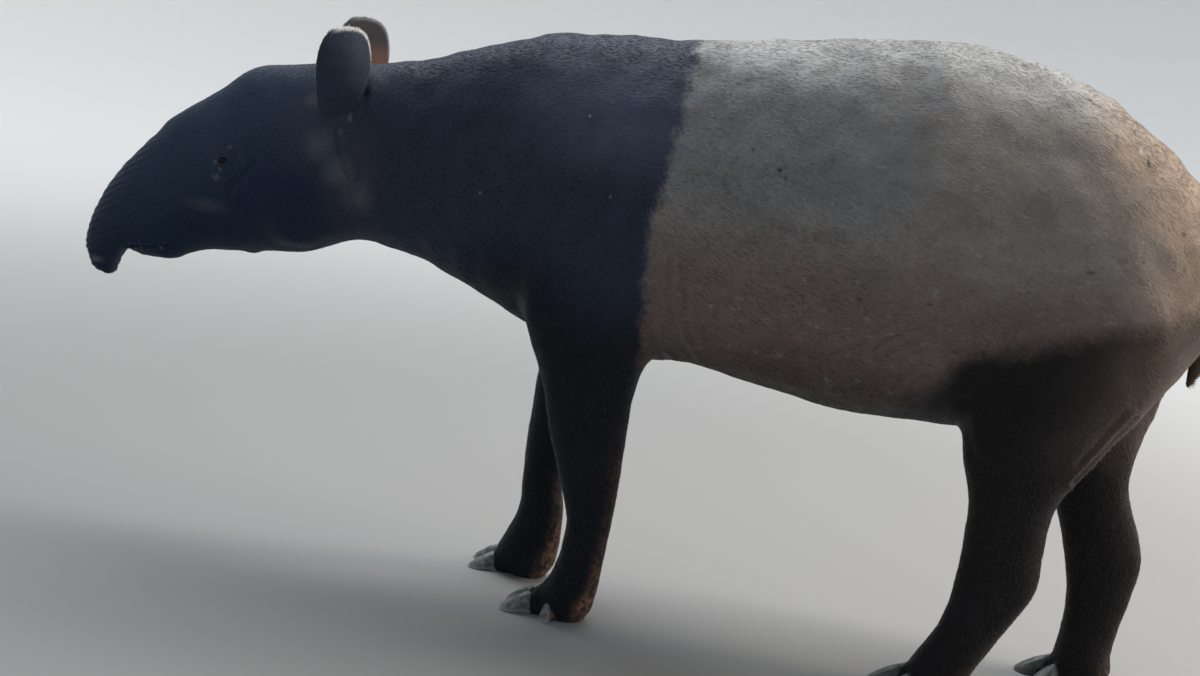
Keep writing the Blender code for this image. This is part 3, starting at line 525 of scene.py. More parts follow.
def path_distance(points, path):
    """How far each point is from a path, in the side view."""
    flat = points[:, (0, 2)]
    nearest = np.full(len(points), 1e9)
    for start, end in zip(path, path[1:]):
        start = np.array(start)
        run = np.array(end) - start
        along = np.clip(((flat - start) @ run) / (run @ run), 0.0, 1.0)
        away = flat - (start + along[:, None] * run)
        nearest = np.minimum(nearest, np.hypot(away[:, 0], away[:, 1]))
    return nearest


def near_creases(points):
    """Whether each point is close to a fold, where the mesh stays fine."""
    near = np.zeros(len(points), dtype=bool)
    for crease in CREASES:
        reach = (np.sign(points[:, 1]) == crease.side) if crease.side else True
        near |= (path_distance(points, smooth_path(crease.path)) < CREASE_REACH) & reach
    return near


def smooth_path(path, steps=8):
    """The Catmull-Rom curve through a path's points."""
    rows = np.array(path, dtype=float)
    count = (len(rows) - 1) * steps
    return [curve_row(rows, i / count) for i in range(count + 1)]


def curve_row(rows, share):
    """The Catmull-Rom curve through all rows, at a share of the way from the first to the last."""
    place = min(max(share, 0.0), 1.0) * (len(rows) - 1)
    index = min(int(place), len(rows) - 2)
    part = place - index
    before = rows[max(index - 1, 0)]
    start = rows[index]
    end = rows[index + 1]
    after = rows[min(index + 2, len(rows) - 1)]
    linear = (end - before) * part
    square = (2 * before - 5 * start + 4 * end - after) * part**2
    cube = (3 * start - before - 3 * end + after) * part**3
    return start + 0.5 * (linear + square + cube)


def press_creases(obj):
    """Presses each crease into the side of the body and raises the rolls beside it."""
    points, normals = read_surface(obj.data)
    rise = np.zeros(len(points))
    for crease in CREASES:
        away = path_distance(points, smooth_path(crease.path))
        shape = -crease.depth * np.exp(-((away / crease.width) ** 2))
        shape += crease.roll * np.exp(-(((away - 2.3 * crease.width) / (1.1 * crease.width)) ** 2))
        facing = np.clip(np.abs(normals[:, 1]) * 2.5 - 0.2, 0.0, 1.0)
        if crease.side:
            facing = facing * (np.sign(points[:, 1]) == crease.side)
        rise += shape * facing
    write_points(obj.data, points + normals * rise[:, None])


def refine(obj, inside):
    """Splits the edges whose two ends are inside."""
    bm = bmesh.new()
    bm.from_mesh(obj.data)
    chosen = inside(read_points(obj.data))
    edges = [edge for edge in bm.edges if all(chosen[vert.index] for vert in edge.verts)]
    bmesh.ops.subdivide_edges(bm, edges=edges, cuts=1, use_grid_fill=True, smooth=0.0)
    bm.to_mesh(obj.data)
    bm.free()
    obj.data.update()


def eye_axes(side):
    """The eye's centre and its own axes: along the lids, up and out of the head."""
    out = Vector(on_side(EYE_LOOKS, side)).normalized()
    along = Vector((-1.0, 0.0, 0.0))
    along = (along - out * along.dot(out)).normalized()
    up = out.cross(along) * side * -1.0
    tilt = Matrix.Rotation(EYE_TILT, 3, out * side * -1.0)
    parts = (Vector(on_side(EYE_CENTRE, side)), tilt @ along, tilt @ up, out)
    return [np.array(part) for part in parts]


def near_eyes(reach):
    def inside(points):
        chosen = np.zeros(len(points), dtype=bool)
        for side in (LEFT, RIGHT):
            chosen |= np.linalg.norm(points - on_side(EYE_CENTRE, side), axis=1) < reach
        return chosen
    return inside


def from_mouth(points):
    """How far each point is from the line of the mouth."""
    return path_distance(points, smooth_path(CREASES[0].path))


def near_mouth(points):
    return (from_mouth(points) < MOUTH_FINE) & (points[:, 0] < MOUTH_ENDS)


def on_proboscis(points):
    return (points[:, 0] < PROBOSCIS_ENDS) & (points[:, 2] < PROBOSCIS_TOP)


def shape_eyelids(obj):
    """Opens the lids over each eye, folds them round it and presses a crease beyond them."""
    points = read_points(obj.data)
    for side in (LEFT, RIGHT):
        centre, along, up, out = eye_axes(side)
        offset = points - centre
        a = offset @ along
        b = offset @ up
        c = offset @ out
        round_lid = LID_HIGH * (1.0 - 0.3 * np.clip(a / LID_LONG, -1, 1) ** 2)
        ring = np.sqrt((a / LID_LONG) ** 2 + (b / round_lid) ** 2)
        near = (ring < LID_FADE) & (c > 0)
        flat = a**2 + b**2
        ball = np.sqrt(np.clip(EYE_RADIUS**2 - flat, 0.0, None))
        lid = np.sqrt(np.clip((EYE_RADIUS + LID_THICK) ** 2 - flat, 0.0, None))
        lid = np.maximum(lid, c)
        socket = ball - SOCKET_DEPTH
        over = mix(lid, c, step(ring, LID_EDGE, LID_FADE))
        over -= LID_CREASE * np.exp(-(((ring - 1.75) / 0.22) ** 2))
        target = np.where(ring < 1.0, socket, over)
        change = np.where(near, target - c, 0.0)
        points = points + change[:, None] * out
    write_points(obj.data, points)


def shape_proboscis(obj):
    """Hollows the nostrils and folds the skin of the proboscis into fine rings."""
    points, normals = read_surface(obj.data)
    ahead = step(-points[:, 0], 0.84, 0.93)
    along = points[:, 2] * 0.8 - points[:, 0] * 0.45
    wave = np.sin(along / RING_STEP * 2 * np.pi + 5 * np.sin(points[:, 1] * 40))
    rise = RING_HEIGHT * wave * ahead * (points[:, 2] < 0.72)
    for side in (LEFT, RIGHT):
        away = away_from(points, NOSTRIL_CENTRE, NOSTRIL_RADII, side)
        rise = rise - NOSTRIL_DEPTH * np.exp(-away)
    write_points(obj.data, points + normals * rise[:, None])


def ear_matrix(side):
    """The ear's own axes: +Y is its convex back, +Z its tip."""
    pose = EAR_POSES[side]
    lean_out = side * math.sin(math.radians(pose.lean_out))
    lean_back = math.sin(math.radians(pose.lean_back))
    turned = math.radians(pose.turn)
    back = Vector((math.sin(turned), side * math.cos(turned), 0.0))
    tip = Vector((lean_back, lean_out, 1.0)).normalized()
    back = (back - tip * back.dot(tip)).normalized()
    across = back.cross(tip)
    turn = Matrix((across, back, tip)).transposed().to_4x4()
    root = Vector((EAR_ROOT[0] - pose.forward, side * EAR_ROOT[1], EAR_ROOT[2]))
    return Matrix.Translation(root) @ turn @ Matrix.Scale(pose.size, 4)


def ear_blank(side):
    """A cupped ear whose levels are crescents, with two low folds inside it."""
    rows = np.array(EAR_SHAPE)
    bm = bmesh.new()
    steps = EAR_RINGS + 1
    bmesh.ops.create_uvsphere(bm, u_segments=EAR_SIDES, v_segments=steps, radius=1.0)
    for vert in bm.verts:
        ring = round(math.acos(min(max(vert.co.z, -1.0), 1.0)) / math.pi * steps)
        turn = math.atan2(vert.co.y, vert.co.x)
        height, half, bulge, hollow, shift = curve_row(rows, (ring - 1) / (EAR_RINGS - 1))
        if ring in (0, steps):
            vert.co = Vector((0.0, shift + bulge * (1.0 + hollow) / 2.0, height))
            continue
        bend = abs(math.sin(turn))
        rim = EAR_RIM / 2.0 * math.sqrt(bend)
        depth = bulge * bend**2 + rim
        if turn <= 0.0:
            fold = 0.0016 * math.sin(math.cos(turn) * 7.0) * bend * max(0.0, hollow)
            depth = bulge * hollow * bend**2 - rim - fold
        vert.co = Vector((half * math.cos(turn), shift + depth, height))
    bmesh.ops.recalc_face_normals(bm, faces=bm.faces)
    bmesh.ops.triangulate(bm, faces=bm.faces)
    blank = object_from(bm, "ear_blank")
    blank.data.transform(ear_matrix(side))
    return blank


def fill_ear_seats(bm):
    """Fills the seat of each ear with a ball and with the foot of the solid ear, closed again."""
    for side, word in ((LEFT, "left"), (RIGHT, "right")):
        centre = Vector(on_side(EAR_BASE, side))
        ball = Matrix.Translation(centre) @ Matrix.Diagonal((*EAR_BASE_RADII, 1.0))
        bmesh.ops.create_uvsphere(bm, u_segments=32, v_segments=24, radius=1.0, matrix=ball)
        foot = bmesh.new()
        foot.from_mesh(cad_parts["ear_" + word].data)
        bmesh.ops.remove_doubles(foot, verts=foot.verts, dist=1e-6)
        axes = ear_matrix(side)
        whole = foot.verts[:] + foot.edges[:] + foot.faces[:]
        top = axes @ Vector((0.0, 0.0, EAR_STUMP))
        upward = axes.to_3x3().col[2].normalized()
        bmesh.ops.bisect_plane(foot, geom=whole, plane_co=top, plane_no=upward, clear_outer=True)
        bmesh.ops.holes_fill(foot, edges=[edge for edge in foot.edges if edge.is_boundary])
        mesh = bpy.data.meshes.new("ear_foot")
        foot.to_mesh(mesh)
        foot.free()
        bm.from_mesh(mesh)
        bpy.data.meshes.remove(mesh)


def join_ears(obj):
    """Unites both ears with the skin of the head and softens the joint."""
    group = bpy.data.collections.new("ears")
    blanks = [ear_blank(side) for side in (LEFT, RIGHT)]
    for blank in blanks:
        group.objects.link(blank)
    modify(obj, "BOOLEAN", operation="UNION", operand_type="COLLECTION", collection=group,
           solver="MANIFOLD")
    for blank in blanks:
        bpy.data.objects.remove(blank, do_unlink=True)
    bpy.data.collections.remove(group)
    points = read_points(obj.data)
    weights = np.zeros(len(points))
    for side in (LEFT, RIGHT):
        centre = np.array(ear_matrix(side))[:3, 3] + (0, 0, EAR_JOINT_UP)
        away = np.linalg.norm((points - centre) / EAR_JOINT_RADII, axis=1)
        weights = np.maximum(weights, np.clip(1.4 - away, 0, 1))
    smooth_by(obj, weights, EAR_JOINT_PASSES)


def calm_share(points):
    """How much the skin is smoothed: less on the head, legs and feet, and more round the ears."""
    calm = 1.0 - 0.8 * on_head(points) - 0.75 * on_feet(points)
    calm = calm * (1.0 - 0.4 * on_legs(points))
    for side in (LEFT, RIGHT):
        away = np.linalg.norm(points - on_side(EAR_BASE, side), axis=1)
        calm = np.maximum(calm, 0.75 * np.exp(-((away / EAR_CALM) ** 4)))
    return np.where(points[:, 2] < SOLE_HEIGHT, 0.0, calm)


def make_skin():
    """The whole skin: one mesh with the folds, lids, lips, nostrils and ears."""
    flesh = [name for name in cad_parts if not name.startswith("ear_")]
    skin = merged_copy(flesh, "skin", fill_ear_seats)
    remesh(skin, SKIN_CELL)
    smooth_by(skin, calm_share(read_points(skin.data)), SMOOTH_PASSES)
    sink_skin(skin)
    shape_forms(skin)
    thin_body(skin)
    join_ears(skin)
    for reach in EYES_FINE:
        refine(skin, near_eyes(reach))
    refine(skin, near_mouth)
    refine(skin, on_proboscis)
    press_creases(skin)
    shape_proboscis(skin)
    shape_eyelids(skin)
    write_marks(skin.data, surface_marks(*read_surface(skin.data)))
    skin.data.shade_smooth()
    skin.data.materials.clear()
    replaced = [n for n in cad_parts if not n.startswith(("eye_", "hoof_"))]
    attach(skin, "root")
    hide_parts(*replaced)
    return skin


def ear_outline():
    """The ear's outline in its own axes, as (across, height)."""
    rows = np.array(EAR_SHAPE)
    levels = [curve_row(rows, i / EAR_RINGS) for i in range(EAR_RINGS + 1)]
    right = [(level[1], level[0]) for level in levels]
    return right + [(-across, height) for across, height in reversed(right)]


def surface_marks(points, normals):
    """Shares of white edge, ear hollow and mud at each point, from 0 to 1."""
    white = np.zeros(len(points))
    hollow = np.zeros(len(points))
    outline = ear_outline()
    ears = np.nonzero(near_ears(points))[0]
    for side in (LEFT, RIGHT):
        chosen = ears[np.sign(points[ears, 1]) == side]
        local = in_ear(points[chosen], side)
        facing = normals[chosen] @ np.array(ear_matrix(side))[:3, 1]
        edge = 1.0 - step(path_distance(local, outline), RIM_WHITE * 0.4, RIM_WHITE)
        fore = -side * local[:, 0]
        white[chosen] = edge * step(local[:, 2], *RIM_STARTS) * (1.0 - step(fore, *RIM_ENDS))
        hollow[chosen] = step(-facing, 0.0, 0.4)
    front = 1.0 - step(points[:, 0], *FRONT_ENDS)
    rear = step(normals[:, 0], 0.3, 0.85)
    mud = rear * (1.0 - step(points[:, 2], *MUD_TOPS)) * mix(0.25, 1.0, front)
    heel = (1.0 - step(points[:, 2], *HEEL_TOPS)) * step(normals[:, 0], 0.1, 0.6)
    mud = np.maximum(mud, heel * mix(0.3, 0.9, front))
    return {"white": white, "hollow": hollow, "mud": mud}


def write_marks(mesh, marks):
    for name, values in marks.items():
        layer = mesh.attributes.new(name, "FLOAT", "POINT")
        layer.data.foreach_set("value", values.astype(np.float32))


def triangles_of(mesh):
    mesh.calc_loop_triangles()
    corners = np.empty(len(mesh.loop_triangles) * 3, dtype=np.int32)
    mesh.loop_triangles.foreach_get("vertices", corners)
    return corners.reshape(-1, 3)


def in_ear(points, side):
    """The points in an ear's own axes."""
    axes = np.array(ear_matrix(side).inverted())
    return points @ axes[:3, :3].T + axes[:3, 3]


def near_ears(points):
    """Whether each point is on an ear, well clear of its root."""
    chosen = np.zeros(len(points), dtype=bool)
    for side in (LEFT, RIGHT):
        local = in_ear(points, side)
        inside = np.abs(local[:, 0]) < EAR_HALF_WIDTH
        inside &= np.abs(local[:, 1] - EAR_MIDDLE) < EAR_HALF_DEPTH
        chosen |= inside & (local[:, 2] > EAR_LOWEST)
    return chosen


def hair_at(points):
    """The hair's density, length, width and stand at each point."""
    muzzle = step(-points[:, 0], *MUZZLE_ENDS)
    values = np.array(BODY_HAIR)
    for hair, share in ((LEG_HAIR, on_legs(points)), (HEAD_HAIR, on_head(points)),
                        (MUZZLE_HAIR, muzzle), (FOOT_HAIR, on_feet(points))):
        values = mix(values, np.array(hair), share[:, None])
    values[near_ears(points)] = EAR_HAIR
    return values


def lie_at(points, normals):
    """The way the hair lies: back along the body, down the legs, and up the ears."""
    legs = on_legs(points)[:, None]
    under = 1.0 - np.abs(normals[:, 2:3])
    way = mix(np.array((1.0, 0.0, -0.32)), np.array((0.12, 0.0, -1.0)), legs * under)
    swirl = 0.22 * np.sin(points[:, 0] * 9 + points[:, 2] * 7) * np.sin(points[:, 2] * 11 + 1)
    way = way + swirl[:, None] * np.array((0.0, 0.0, 1.0))
    way[near_ears(points)] = (0.0, 0.0, 1.0)
    return unit(way - normals * (way * normals).sum(axis=1)[:, None])


def scatter(skin, rng):
    """Roots spread over the skin, as dense as the hair is there: their places and normals."""
    points, normals = read_surface(skin.data)
    corners = triangles_of(skin.data)
    a, b, c = (points[corners[:, k]] for k in range(3))
    area = np.linalg.norm(np.cross(b - a, c - a), axis=1) / 2
    middle = (a + b + c) / 3
    wanted = area * hair_at(middle)[:, 0] * bare_share(middle)
    total = np.cumsum(wanted)
    count = int(total[-1])
    places = (np.arange(count) + rng.random(count)) * total[-1] / count
    face = np.minimum(np.searchsorted(total, places), len(total) - 1)
    u = rng.random((2, count))
    over = u.sum(axis=0) > 1
    u[:, over] = 1 - u[:, over]
    weights = np.stack([1 - u.sum(axis=0), u[0], u[1]], axis=1)[:, :, None]
    root = (points[corners[face]] * weights).sum(axis=1)
    return root, unit((normals[corners[face]] * weights).sum(axis=1))


def bare_share(points):
    """0 where the skin is bare: the eyes, the soles and the nostrils."""
    share = 1.0 - (points[:, 2] < 0.006)
    for side in (LEFT, RIGHT):
        centre, along, up, out = eye_axes(side)
        offset = points - centre
        ring = np.hypot((offset @ along) / LID_LONG, (offset @ up) / LID_HIGH)
        share = share * (1.0 - ((ring < 1.25) & ((offset @ out) > 0)))
        nostril = away_from(points, NOSTRIL_CENTRE, NOSTRIL_RADII, side)
        share = share * step(nostril, 0.8, 2.0)
    return share


def hoof_tree():
    bm = bmesh.new()
    for name in nodes_that("hoof_"):
        bm.from_mesh(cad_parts[name].data)
    tree = BVHTree.FromBMesh(bm)
    bm.free()
    return tree


def off_hooves(roots):
    """Whether each root on the feet is clear of the hooves."""
    tree = hoof_tree()
    keep = np.ones(len(roots), dtype=bool)
    for index in np.nonzero(roots[:, 2] < HOOF_TOP)[0]:
        _, _, _, away = tree.find_nearest(Vector(roots[index]))
        keep[index] = away > HOOF_CLEAR
    return keep


def tufts(root, normal, rng):
    """Closed tufts, each a slim spindle: its root, three points round its belly, and its tip."""
    count = len(root)
    hair = hair_at(root)
    length = hair[:, 1] * rng.uniform(0.75, 1.25, count)
    width = hair[:, 2] * rng.uniform(0.8, 1.2, count)
    stand = hair[:, 3] * rng.uniform(0.4, 1.3, count)
    way = lie_at(root, normal)
    turn = rng.normal(0.0, HAIR_TURN, count)
    side = np.cross(normal, way)
    way = way * np.cos(turn)[:, None] + side * np.sin(turn)[:, None]
    side = np.cross(normal, way)
    low = root - normal * HAIR_ROOT
    belly = root + way * (length * HAIR_BELLY)[:, None] + normal * (stand * 0.3)[:, None]
    left = belly + side * (width / 2)[:, None]
    right = belly - side * (width / 2)[:, None]
    ridge = belly + normal * (width * HAIR_THICK)[:, None]
    tip = root + way * length[:, None] + normal * stand[:, None]
    points = np.stack([low, left, right, ridge, tip], axis=1)
    points[:, :, 2] = np.maximum(points[:, :, 2], HAIR_LOWEST)
    return points


TUFT_FACES = np.array([(0, 3, 1), (0, 2, 3), (0, 1, 2), (4, 1, 3), (4, 3, 2), (4, 2, 1)])
TUFT_MAP = np.array([(0.0, 0.5), (0.35, 1.0), (0.35, 0.0), (0.45, 0.5), (1.0, 0.5)])


def turn_of(rise, run):
    """The turn of each point about an axis, from 0 to 1."""
    return np.arctan2(rise, run) / (2 * np.pi) + 0.5


def leg_places(root, side):
    """The turn of each root about the middle of its leg, and its height."""
    middle = 0.1 if side == RIGHT else -0.11
    return turn_of(root[:, 1] - middle, root[:, 0] - level_middle(root)), root[:, 2]


def ear_places(root, side):
    """The turn of each root about the ear's axis, and its height as a share of the ear's."""
    local = in_ear(root, side)
    turn = turn_of(local[:, 1] - EAR_MIDDLE, local[:, 0])
    return turn, np.clip(local[:, 2] / EAR_HEIGHT, 0, 1)


def spread(values):
    """The values, moved and scaled to reach from 0 to 1."""
    return (values - values.min()) / (values.max() - values.min())


def map_places(name, root):
    """Where each root lies on an unwrap of its part of the skin."""
    legs = name.startswith("coat_legs")
    if legs or name == "coat_ears":
        places = np.zeros((len(root), 2))
        for side, start in ((LEFT, 0.01), (RIGHT, 0.51)):
            chosen = (root[:, 1] > 0) == (side == RIGHT)
            swing, height = (leg_places if legs else ear_places)(root[chosen], side)
            places[chosen] = np.stack([swing * 0.47 + start, height], axis=1)
        if legs:
            places[:, 1] = spread(places[:, 1])
        places[:, 1] = 0.01 + places[:, 1] * 0.97
        return places
    middle = 0.75
    if name.startswith("coat_head"):
        middle = np.interp(root[:, 0], (-0.98, -0.9, -0.7, -0.5), (0.54, 0.62, 0.7, 0.74))
    turn = turn_of(root[:, 1], root[:, 2] - middle)
    return 0.01 + 0.97 * np.stack([spread(root[:, 0]), spread(turn)], axis=1)


def level_middle(root):
    """The middle of a leg, front to back, at each root's level."""
    if len(root) == 0:
        return np.zeros(0)
    levels = np.clip((root[:, 2] / 0.03).astype(int), 0, 20)
    total = np.bincount(levels, weights=root[:, 0], minlength=21)
    count = np.bincount(levels, minlength=21)
    middle = total / np.maximum(count, 1)
    known = np.nonzero(count)[0]
    middle = np.interp(np.arange(21), known, middle[known])
    return np.interp(root[:, 2] / 0.03 - 0.5, np.arange(21), middle)


def coat_piece(name, points, marks, places):
    """One mesh of many tufts, with a map patch, a tone and the marks of each."""
    count = len(points)
    mesh = bpy.data.meshes.new(name)
    faces = (np.arange(count)[:, None, None] * 5 + TUFT_FACES[None]).reshape(-1)
    mesh.vertices.add(count * 5)
    mesh.vertices.foreach_set("co", points.astype(np.float32).ravel())
    mesh.loops.add(count * 18)
    mesh.loops.foreach_set("vertex_index", faces.astype(np.int32))
    mesh.polygons.add(count * 6)
    mesh.polygons.foreach_set("loop_start", np.arange(0, count * 18, 3, dtype=np.int32))
    mesh.update(calc_edges=True)
    patch = places[:, None, :] + TUFT_MAP[None] * MAP_PATCH
    spread = patch[:, TUFT_FACES.ravel(), :]
    layer = mesh.uv_layers.new(name="OFBake")
    layer.data.foreach_set("uv", spread.astype(np.float32).ravel())
    write_marks(mesh, {mark: np.repeat(values, 5) for mark, values in marks.items()})
    mesh.shade_smooth()
    obj = link(bpy.data.objects.new(name, mesh))
    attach(obj, "root")
    return obj


def coat_parts(root):
    """The part of the coat that each root belongs to."""
    x, y, z = root.T
    part = np.full(len(root), "coat_neck", dtype=object)
    side = np.where(y < 0, "left", "right")
    head = x < HEAD_STARTS
    part[head] = np.char.add("coat_head_", side[head].astype(str))
    part[near_ears(root)] = "coat_ears"
    for word, start in TRUNK_PARTS:
        chosen = x > start
        part[chosen] = np.char.add(f"coat_{word}_", side[chosen].astype(str))
    low = (x > TRUNK_PARTS[0][1]) & (z < LEG_COAT_TOP)
    part[low & (x < 0.25)] = "coat_legs_front"
    part[low & (x > 0.5)] = "coat_legs_hind"
    return part


def make_coat(skin, look):
    """The short hair, in pieces of under 200 000 triangles."""
    rng = np.random.default_rng(SEED)
    root, normal = scatter(skin, rng)
    keep = off_hooves(root)
    root, normal = root[keep], normal[keep]
    part = coat_parts(root)
    points = tufts(root, normal, rng)
    marks = surface_marks(root, normal)
    marks["tone"] = rng.random(len(root))
    lips = (from_mouth(root) < LIP_REACH) & (root[:, 0] < LIPS_END)
    lips &= rng.random(len(root)) < LIP_HAIR_SHARE
    marks["white"] = np.where(lips, 0.8, marks["white"])
    for name in sorted(set(part)):
        chosen = part == name
        places = map_places(name, root[chosen])
        own_marks = {mark: values[chosen] for mark, values in marks.items()}
        piece = coat_piece(name, points[chosen], own_marks, places)
        piece.data.materials.append(look)


def new_material(name):
    made = bpy.data.materials.new(name)
    made.use_nodes = True
    return made, made.node_tree, made.node_tree.nodes["Principled BSDF"]


def set_inputs(made, inputs):
    """Sets a node's inputs, or links them where the value is another node's output."""
    for key, value in inputs.items():
        if isinstance(value, bpy.types.NodeSocket):
            made.id_data.links.new(value, made.inputs[key])
        else:
            made.inputs[key].default_value = value


def node(tree, kind, inputs=None, **settings):
    """A shader node with its settings and inputs."""
    made = tree.nodes.new("ShaderNode" + kind)
    for key, value in settings.items():
        setattr(made, key, value)
    set_inputs(made, inputs or {})
    return made


def calc(operation, first, *others):
    """A step of arithmetic on a node's output."""
    inputs = dict(enumerate((first, *others)))
    return node(first.id_data, "Math", inputs, operation=operation).outputs[0]


def plus(first, second):
    return calc("ADD", first, second)


def times(first, second):
    return calc("MULTIPLY", first, second)


def scaled(value, factor, offset):
    """A value times a factor, plus an offset."""
    return calc("MULTIPLY_ADD", value, factor, offset)


def ramp(value, low, high, start=0.0, end=1.0):
    """A value that goes smoothly from start to end as another goes from low to high."""
    inputs = {"Value": value, "From Min": low, "From Max": high, "To Min": start, "To Max": end}
    made = node(value.id_data, "MapRange", inputs, interpolation_type="SMOOTHSTEP")
    return made.outputs["Result"]


def noise(place, scale, detail, roughness):
    inputs = {"Vector": place, "Scale": scale, "Detail": detail, "Roughness": roughness}
    return node(place.id_data, "TexNoise", inputs).outputs["Fac"]


def length_of(place):
    return node(place.id_data, "VectorMath", {0: place}, operation="LENGTH").outputs["Value"]


def object_place(tree):
    return node(tree, "TexCoord").outputs["Object"]


def grain_normal(height, strength, distance):
    inputs = {"Height": height, "Strength": strength, "Distance": distance}
    return node(height.id_data, "Bump", inputs).outputs["Normal"]


def blend_colour(share, first, second):
    """The first colour at 0, the second at 1."""
    colours = [value if isinstance(value, bpy.types.NodeSocket) else (*value, 1.0)
               for value in (first, second)]
    inputs = {0: share, 6: colours[0], 7: colours[1]}
    return node(share.id_data, "Mix", inputs, data_type="RGBA").outputs[2]


def layered(colour, *layers):
    """A colour with shades laid over it, each by its own share."""
    for share, shade in layers:
        colour = blend_colour(share, colour, shade)
    return colour


def spot(place, centre, radii, share=1.0):
    """A share at a centre, falling to 0 at these radii from it."""
    inputs = {"Vector": place, "Location": centre, "Scale": radii}
    moved = node(place.id_data, "Mapping", inputs, vector_type="TEXTURE").outputs[0]
    return ramp(length_of(moved), 0.0, 1.0, share, 0.0)


def saddle_share(place, x, z):
    """1 on the pale saddle, 0 on the black parts before, behind and below it."""
    ragged = scaled(noise(place, 24.0, 4.0, 0.65), 0.05, -0.025)
    hairs = scaled(noise(place, 150.0, 2.0, 0.6), 0.024, -0.012)
    edge = plus(ragged, hairs)
    line = ramp(z, 0.72, 0.83, SADDLE_FRONT, SADDLE_FRONT + 0.0146)
    line = plus(line, ramp(z, 0.83, 1.02, 0.0, 0.009))
    line = plus(line, ramp(z, 0.55, 0.72, 0.0125, 0.0))
    front = ramp(plus(calc("SUBTRACT", x, line), edge), -0.012, 0.012)
    over = ramp(plus(calc("SUBTRACT", z, scaled(x, *HIND_TOP)), edge), -0.03, 0.026)
    ahead = ramp(plus(calc("SUBTRACT", scaled(z, *HIND_FRONT), x), edge), -0.035, 0.03)
    low = ramp(plus(z, edge), 0.43, 0.48)
    return times(times(front, calc("MAXIMUM", over, ahead)), low)


def saddle_colour(place, x, z):
    """The dusty hide of the saddle, mottled: paler above with painted light on the top of the back,
    a painted bluish sheen of the sky on the upper flank, brown below and darker on the belly as
    painted shade, and tan on the rump, partly painted warm light from behind.
    """
    broad = scaled(noise(place, 6.0, 4.0, 0.6), 0.3, -0.15)
    height = plus(z, times(broad, 0.6))
    along = plus(x, broad)
    # Painted light: paler over the top of the back, as if lit from above
    colour = blend_colour(ramp(height, 0.965, 1.045), SADDLE_GREY, SADDLE_TOP_LIT)
    # Painted sheen: a bluish reflection of the sky over the upper flank, towards the front
    blue = times(ramp(along, 0.6, 0.25), ramp(height, 0.72, 0.86, 0.0, 0.85))
    blue = times(blue, ramp(height, 1.04, 0.97))
    # Tan on the rump, partly painted warm light from behind and above
    rump = ramp(plus(along, scaled(z, 0.35, -0.28)), 0.68, 0.93)
    rump = times(rump, ramp(z, 0.58, 0.8, 0.45, 1.0))
    hip = spot(place, (0.6, 0.0, 0.64), (0.17, 0.7, 0.11), 0.6)
    colour = layered(
        colour,
        (blue, SADDLE_SKY_SHEEN),
        (ramp(height, 0.8, 0.64), SADDLE_LOW),
        # Painted shade under the belly
        (ramp(height, 0.6, 0.5), SADDLE_BELLY_SHADE),
        (rump, SADDLE_RUMP_TAN_AND_WARM_LIGHT),
        (hip, SADDLE_HIP),
    )
    streaks = {"Vector": place, "Scale": (1.0, 1.0, 1.7)}
    streaks = node(place.id_data, "Mapping", streaks).outputs[0]
    for scale, low, high, share, shade in SADDLE_MOTTLE:
        patch = ramp(noise(streaks, scale, 5.0, 0.68), low, high, 0.0, share)
        colour = blend_colour(patch, colour, shade)
    return colour


def black_colour(place, x, z):
    """The black coat: blue-black before, the blue being painted bluish skylight, with painted light
    on the crown, dust and a painted highlight on the shoulder, painted shade on the chest, plain
    and darker on the legs as painted shade, and brown on the buttocks, partly painted warm light
    from behind.
    """
    broad = noise(place, 7.0, 3.0, 0.6)
    over = plus(scaled(x, -0.62, -1.159), z)
    # Painted light: the top of the head paler, as if lit from above
    head = blend_colour(ramp(over, -0.12, 0.08), BLACK_HEAD, BLACK_CROWN_LIT)
    # Dust with a painted highlight on the top of the shoulder
    shoulder = spot(place, (-0.065, 0.0, 0.88), (0.26, 0.7, 0.135))
    # Brown on the buttocks, partly painted warm light from behind
    rear = ramp(plus(x, scaled(broad, 0.12, -0.06)), 0.68, 0.84)
    cheek = spot(place, (-0.515, 0.0, 0.705), (0.085, 0.4, 0.12), 0.75)
    return layered(
        # The blue tint of the black coat is painted bluish skylight
        BLACK_SKYLIGHT_BLUE,
        (ramp(x, -0.5, -0.62), head),
        (spot(place, (-0.58, 0.0, 0.765), (0.13, 0.4, 0.1), 0.8), BLACK_TEMPLE),
        (times(shoulder, ramp(broad, 0.25, 0.6, 0.6, 1.0)), BLACK_SHOULDER_DUST_AND_HIGHLIGHT),
        # Painted shade on the chest between the front legs
        (spot(place, (-0.2, 0.0, 0.56), (0.17, 0.6, 0.15)), BLACK_CHEST_SHADE),
        (times(ramp(z, 0.85, 0.885), ramp(x, -0.44, -0.47)), BLACK_EAR),
        # Painted shade: the lower body and legs darker underneath
        (times(ramp(z, 0.64, 0.48), ramp(x, -0.55, -0.4)), BLACK_LEG_SHADED),
        (ramp(x, 0.25, 0.5), BLACK_HIND),
        (times(rear, ramp(z, 0.36, 0.5)), BUTTOCK_BROWN_AND_WARM_LIGHT),
        (plus(ramp(broad, 0.45, 0.8, 0.0, 0.14), cheek), BLACK_DUSTY),
    )


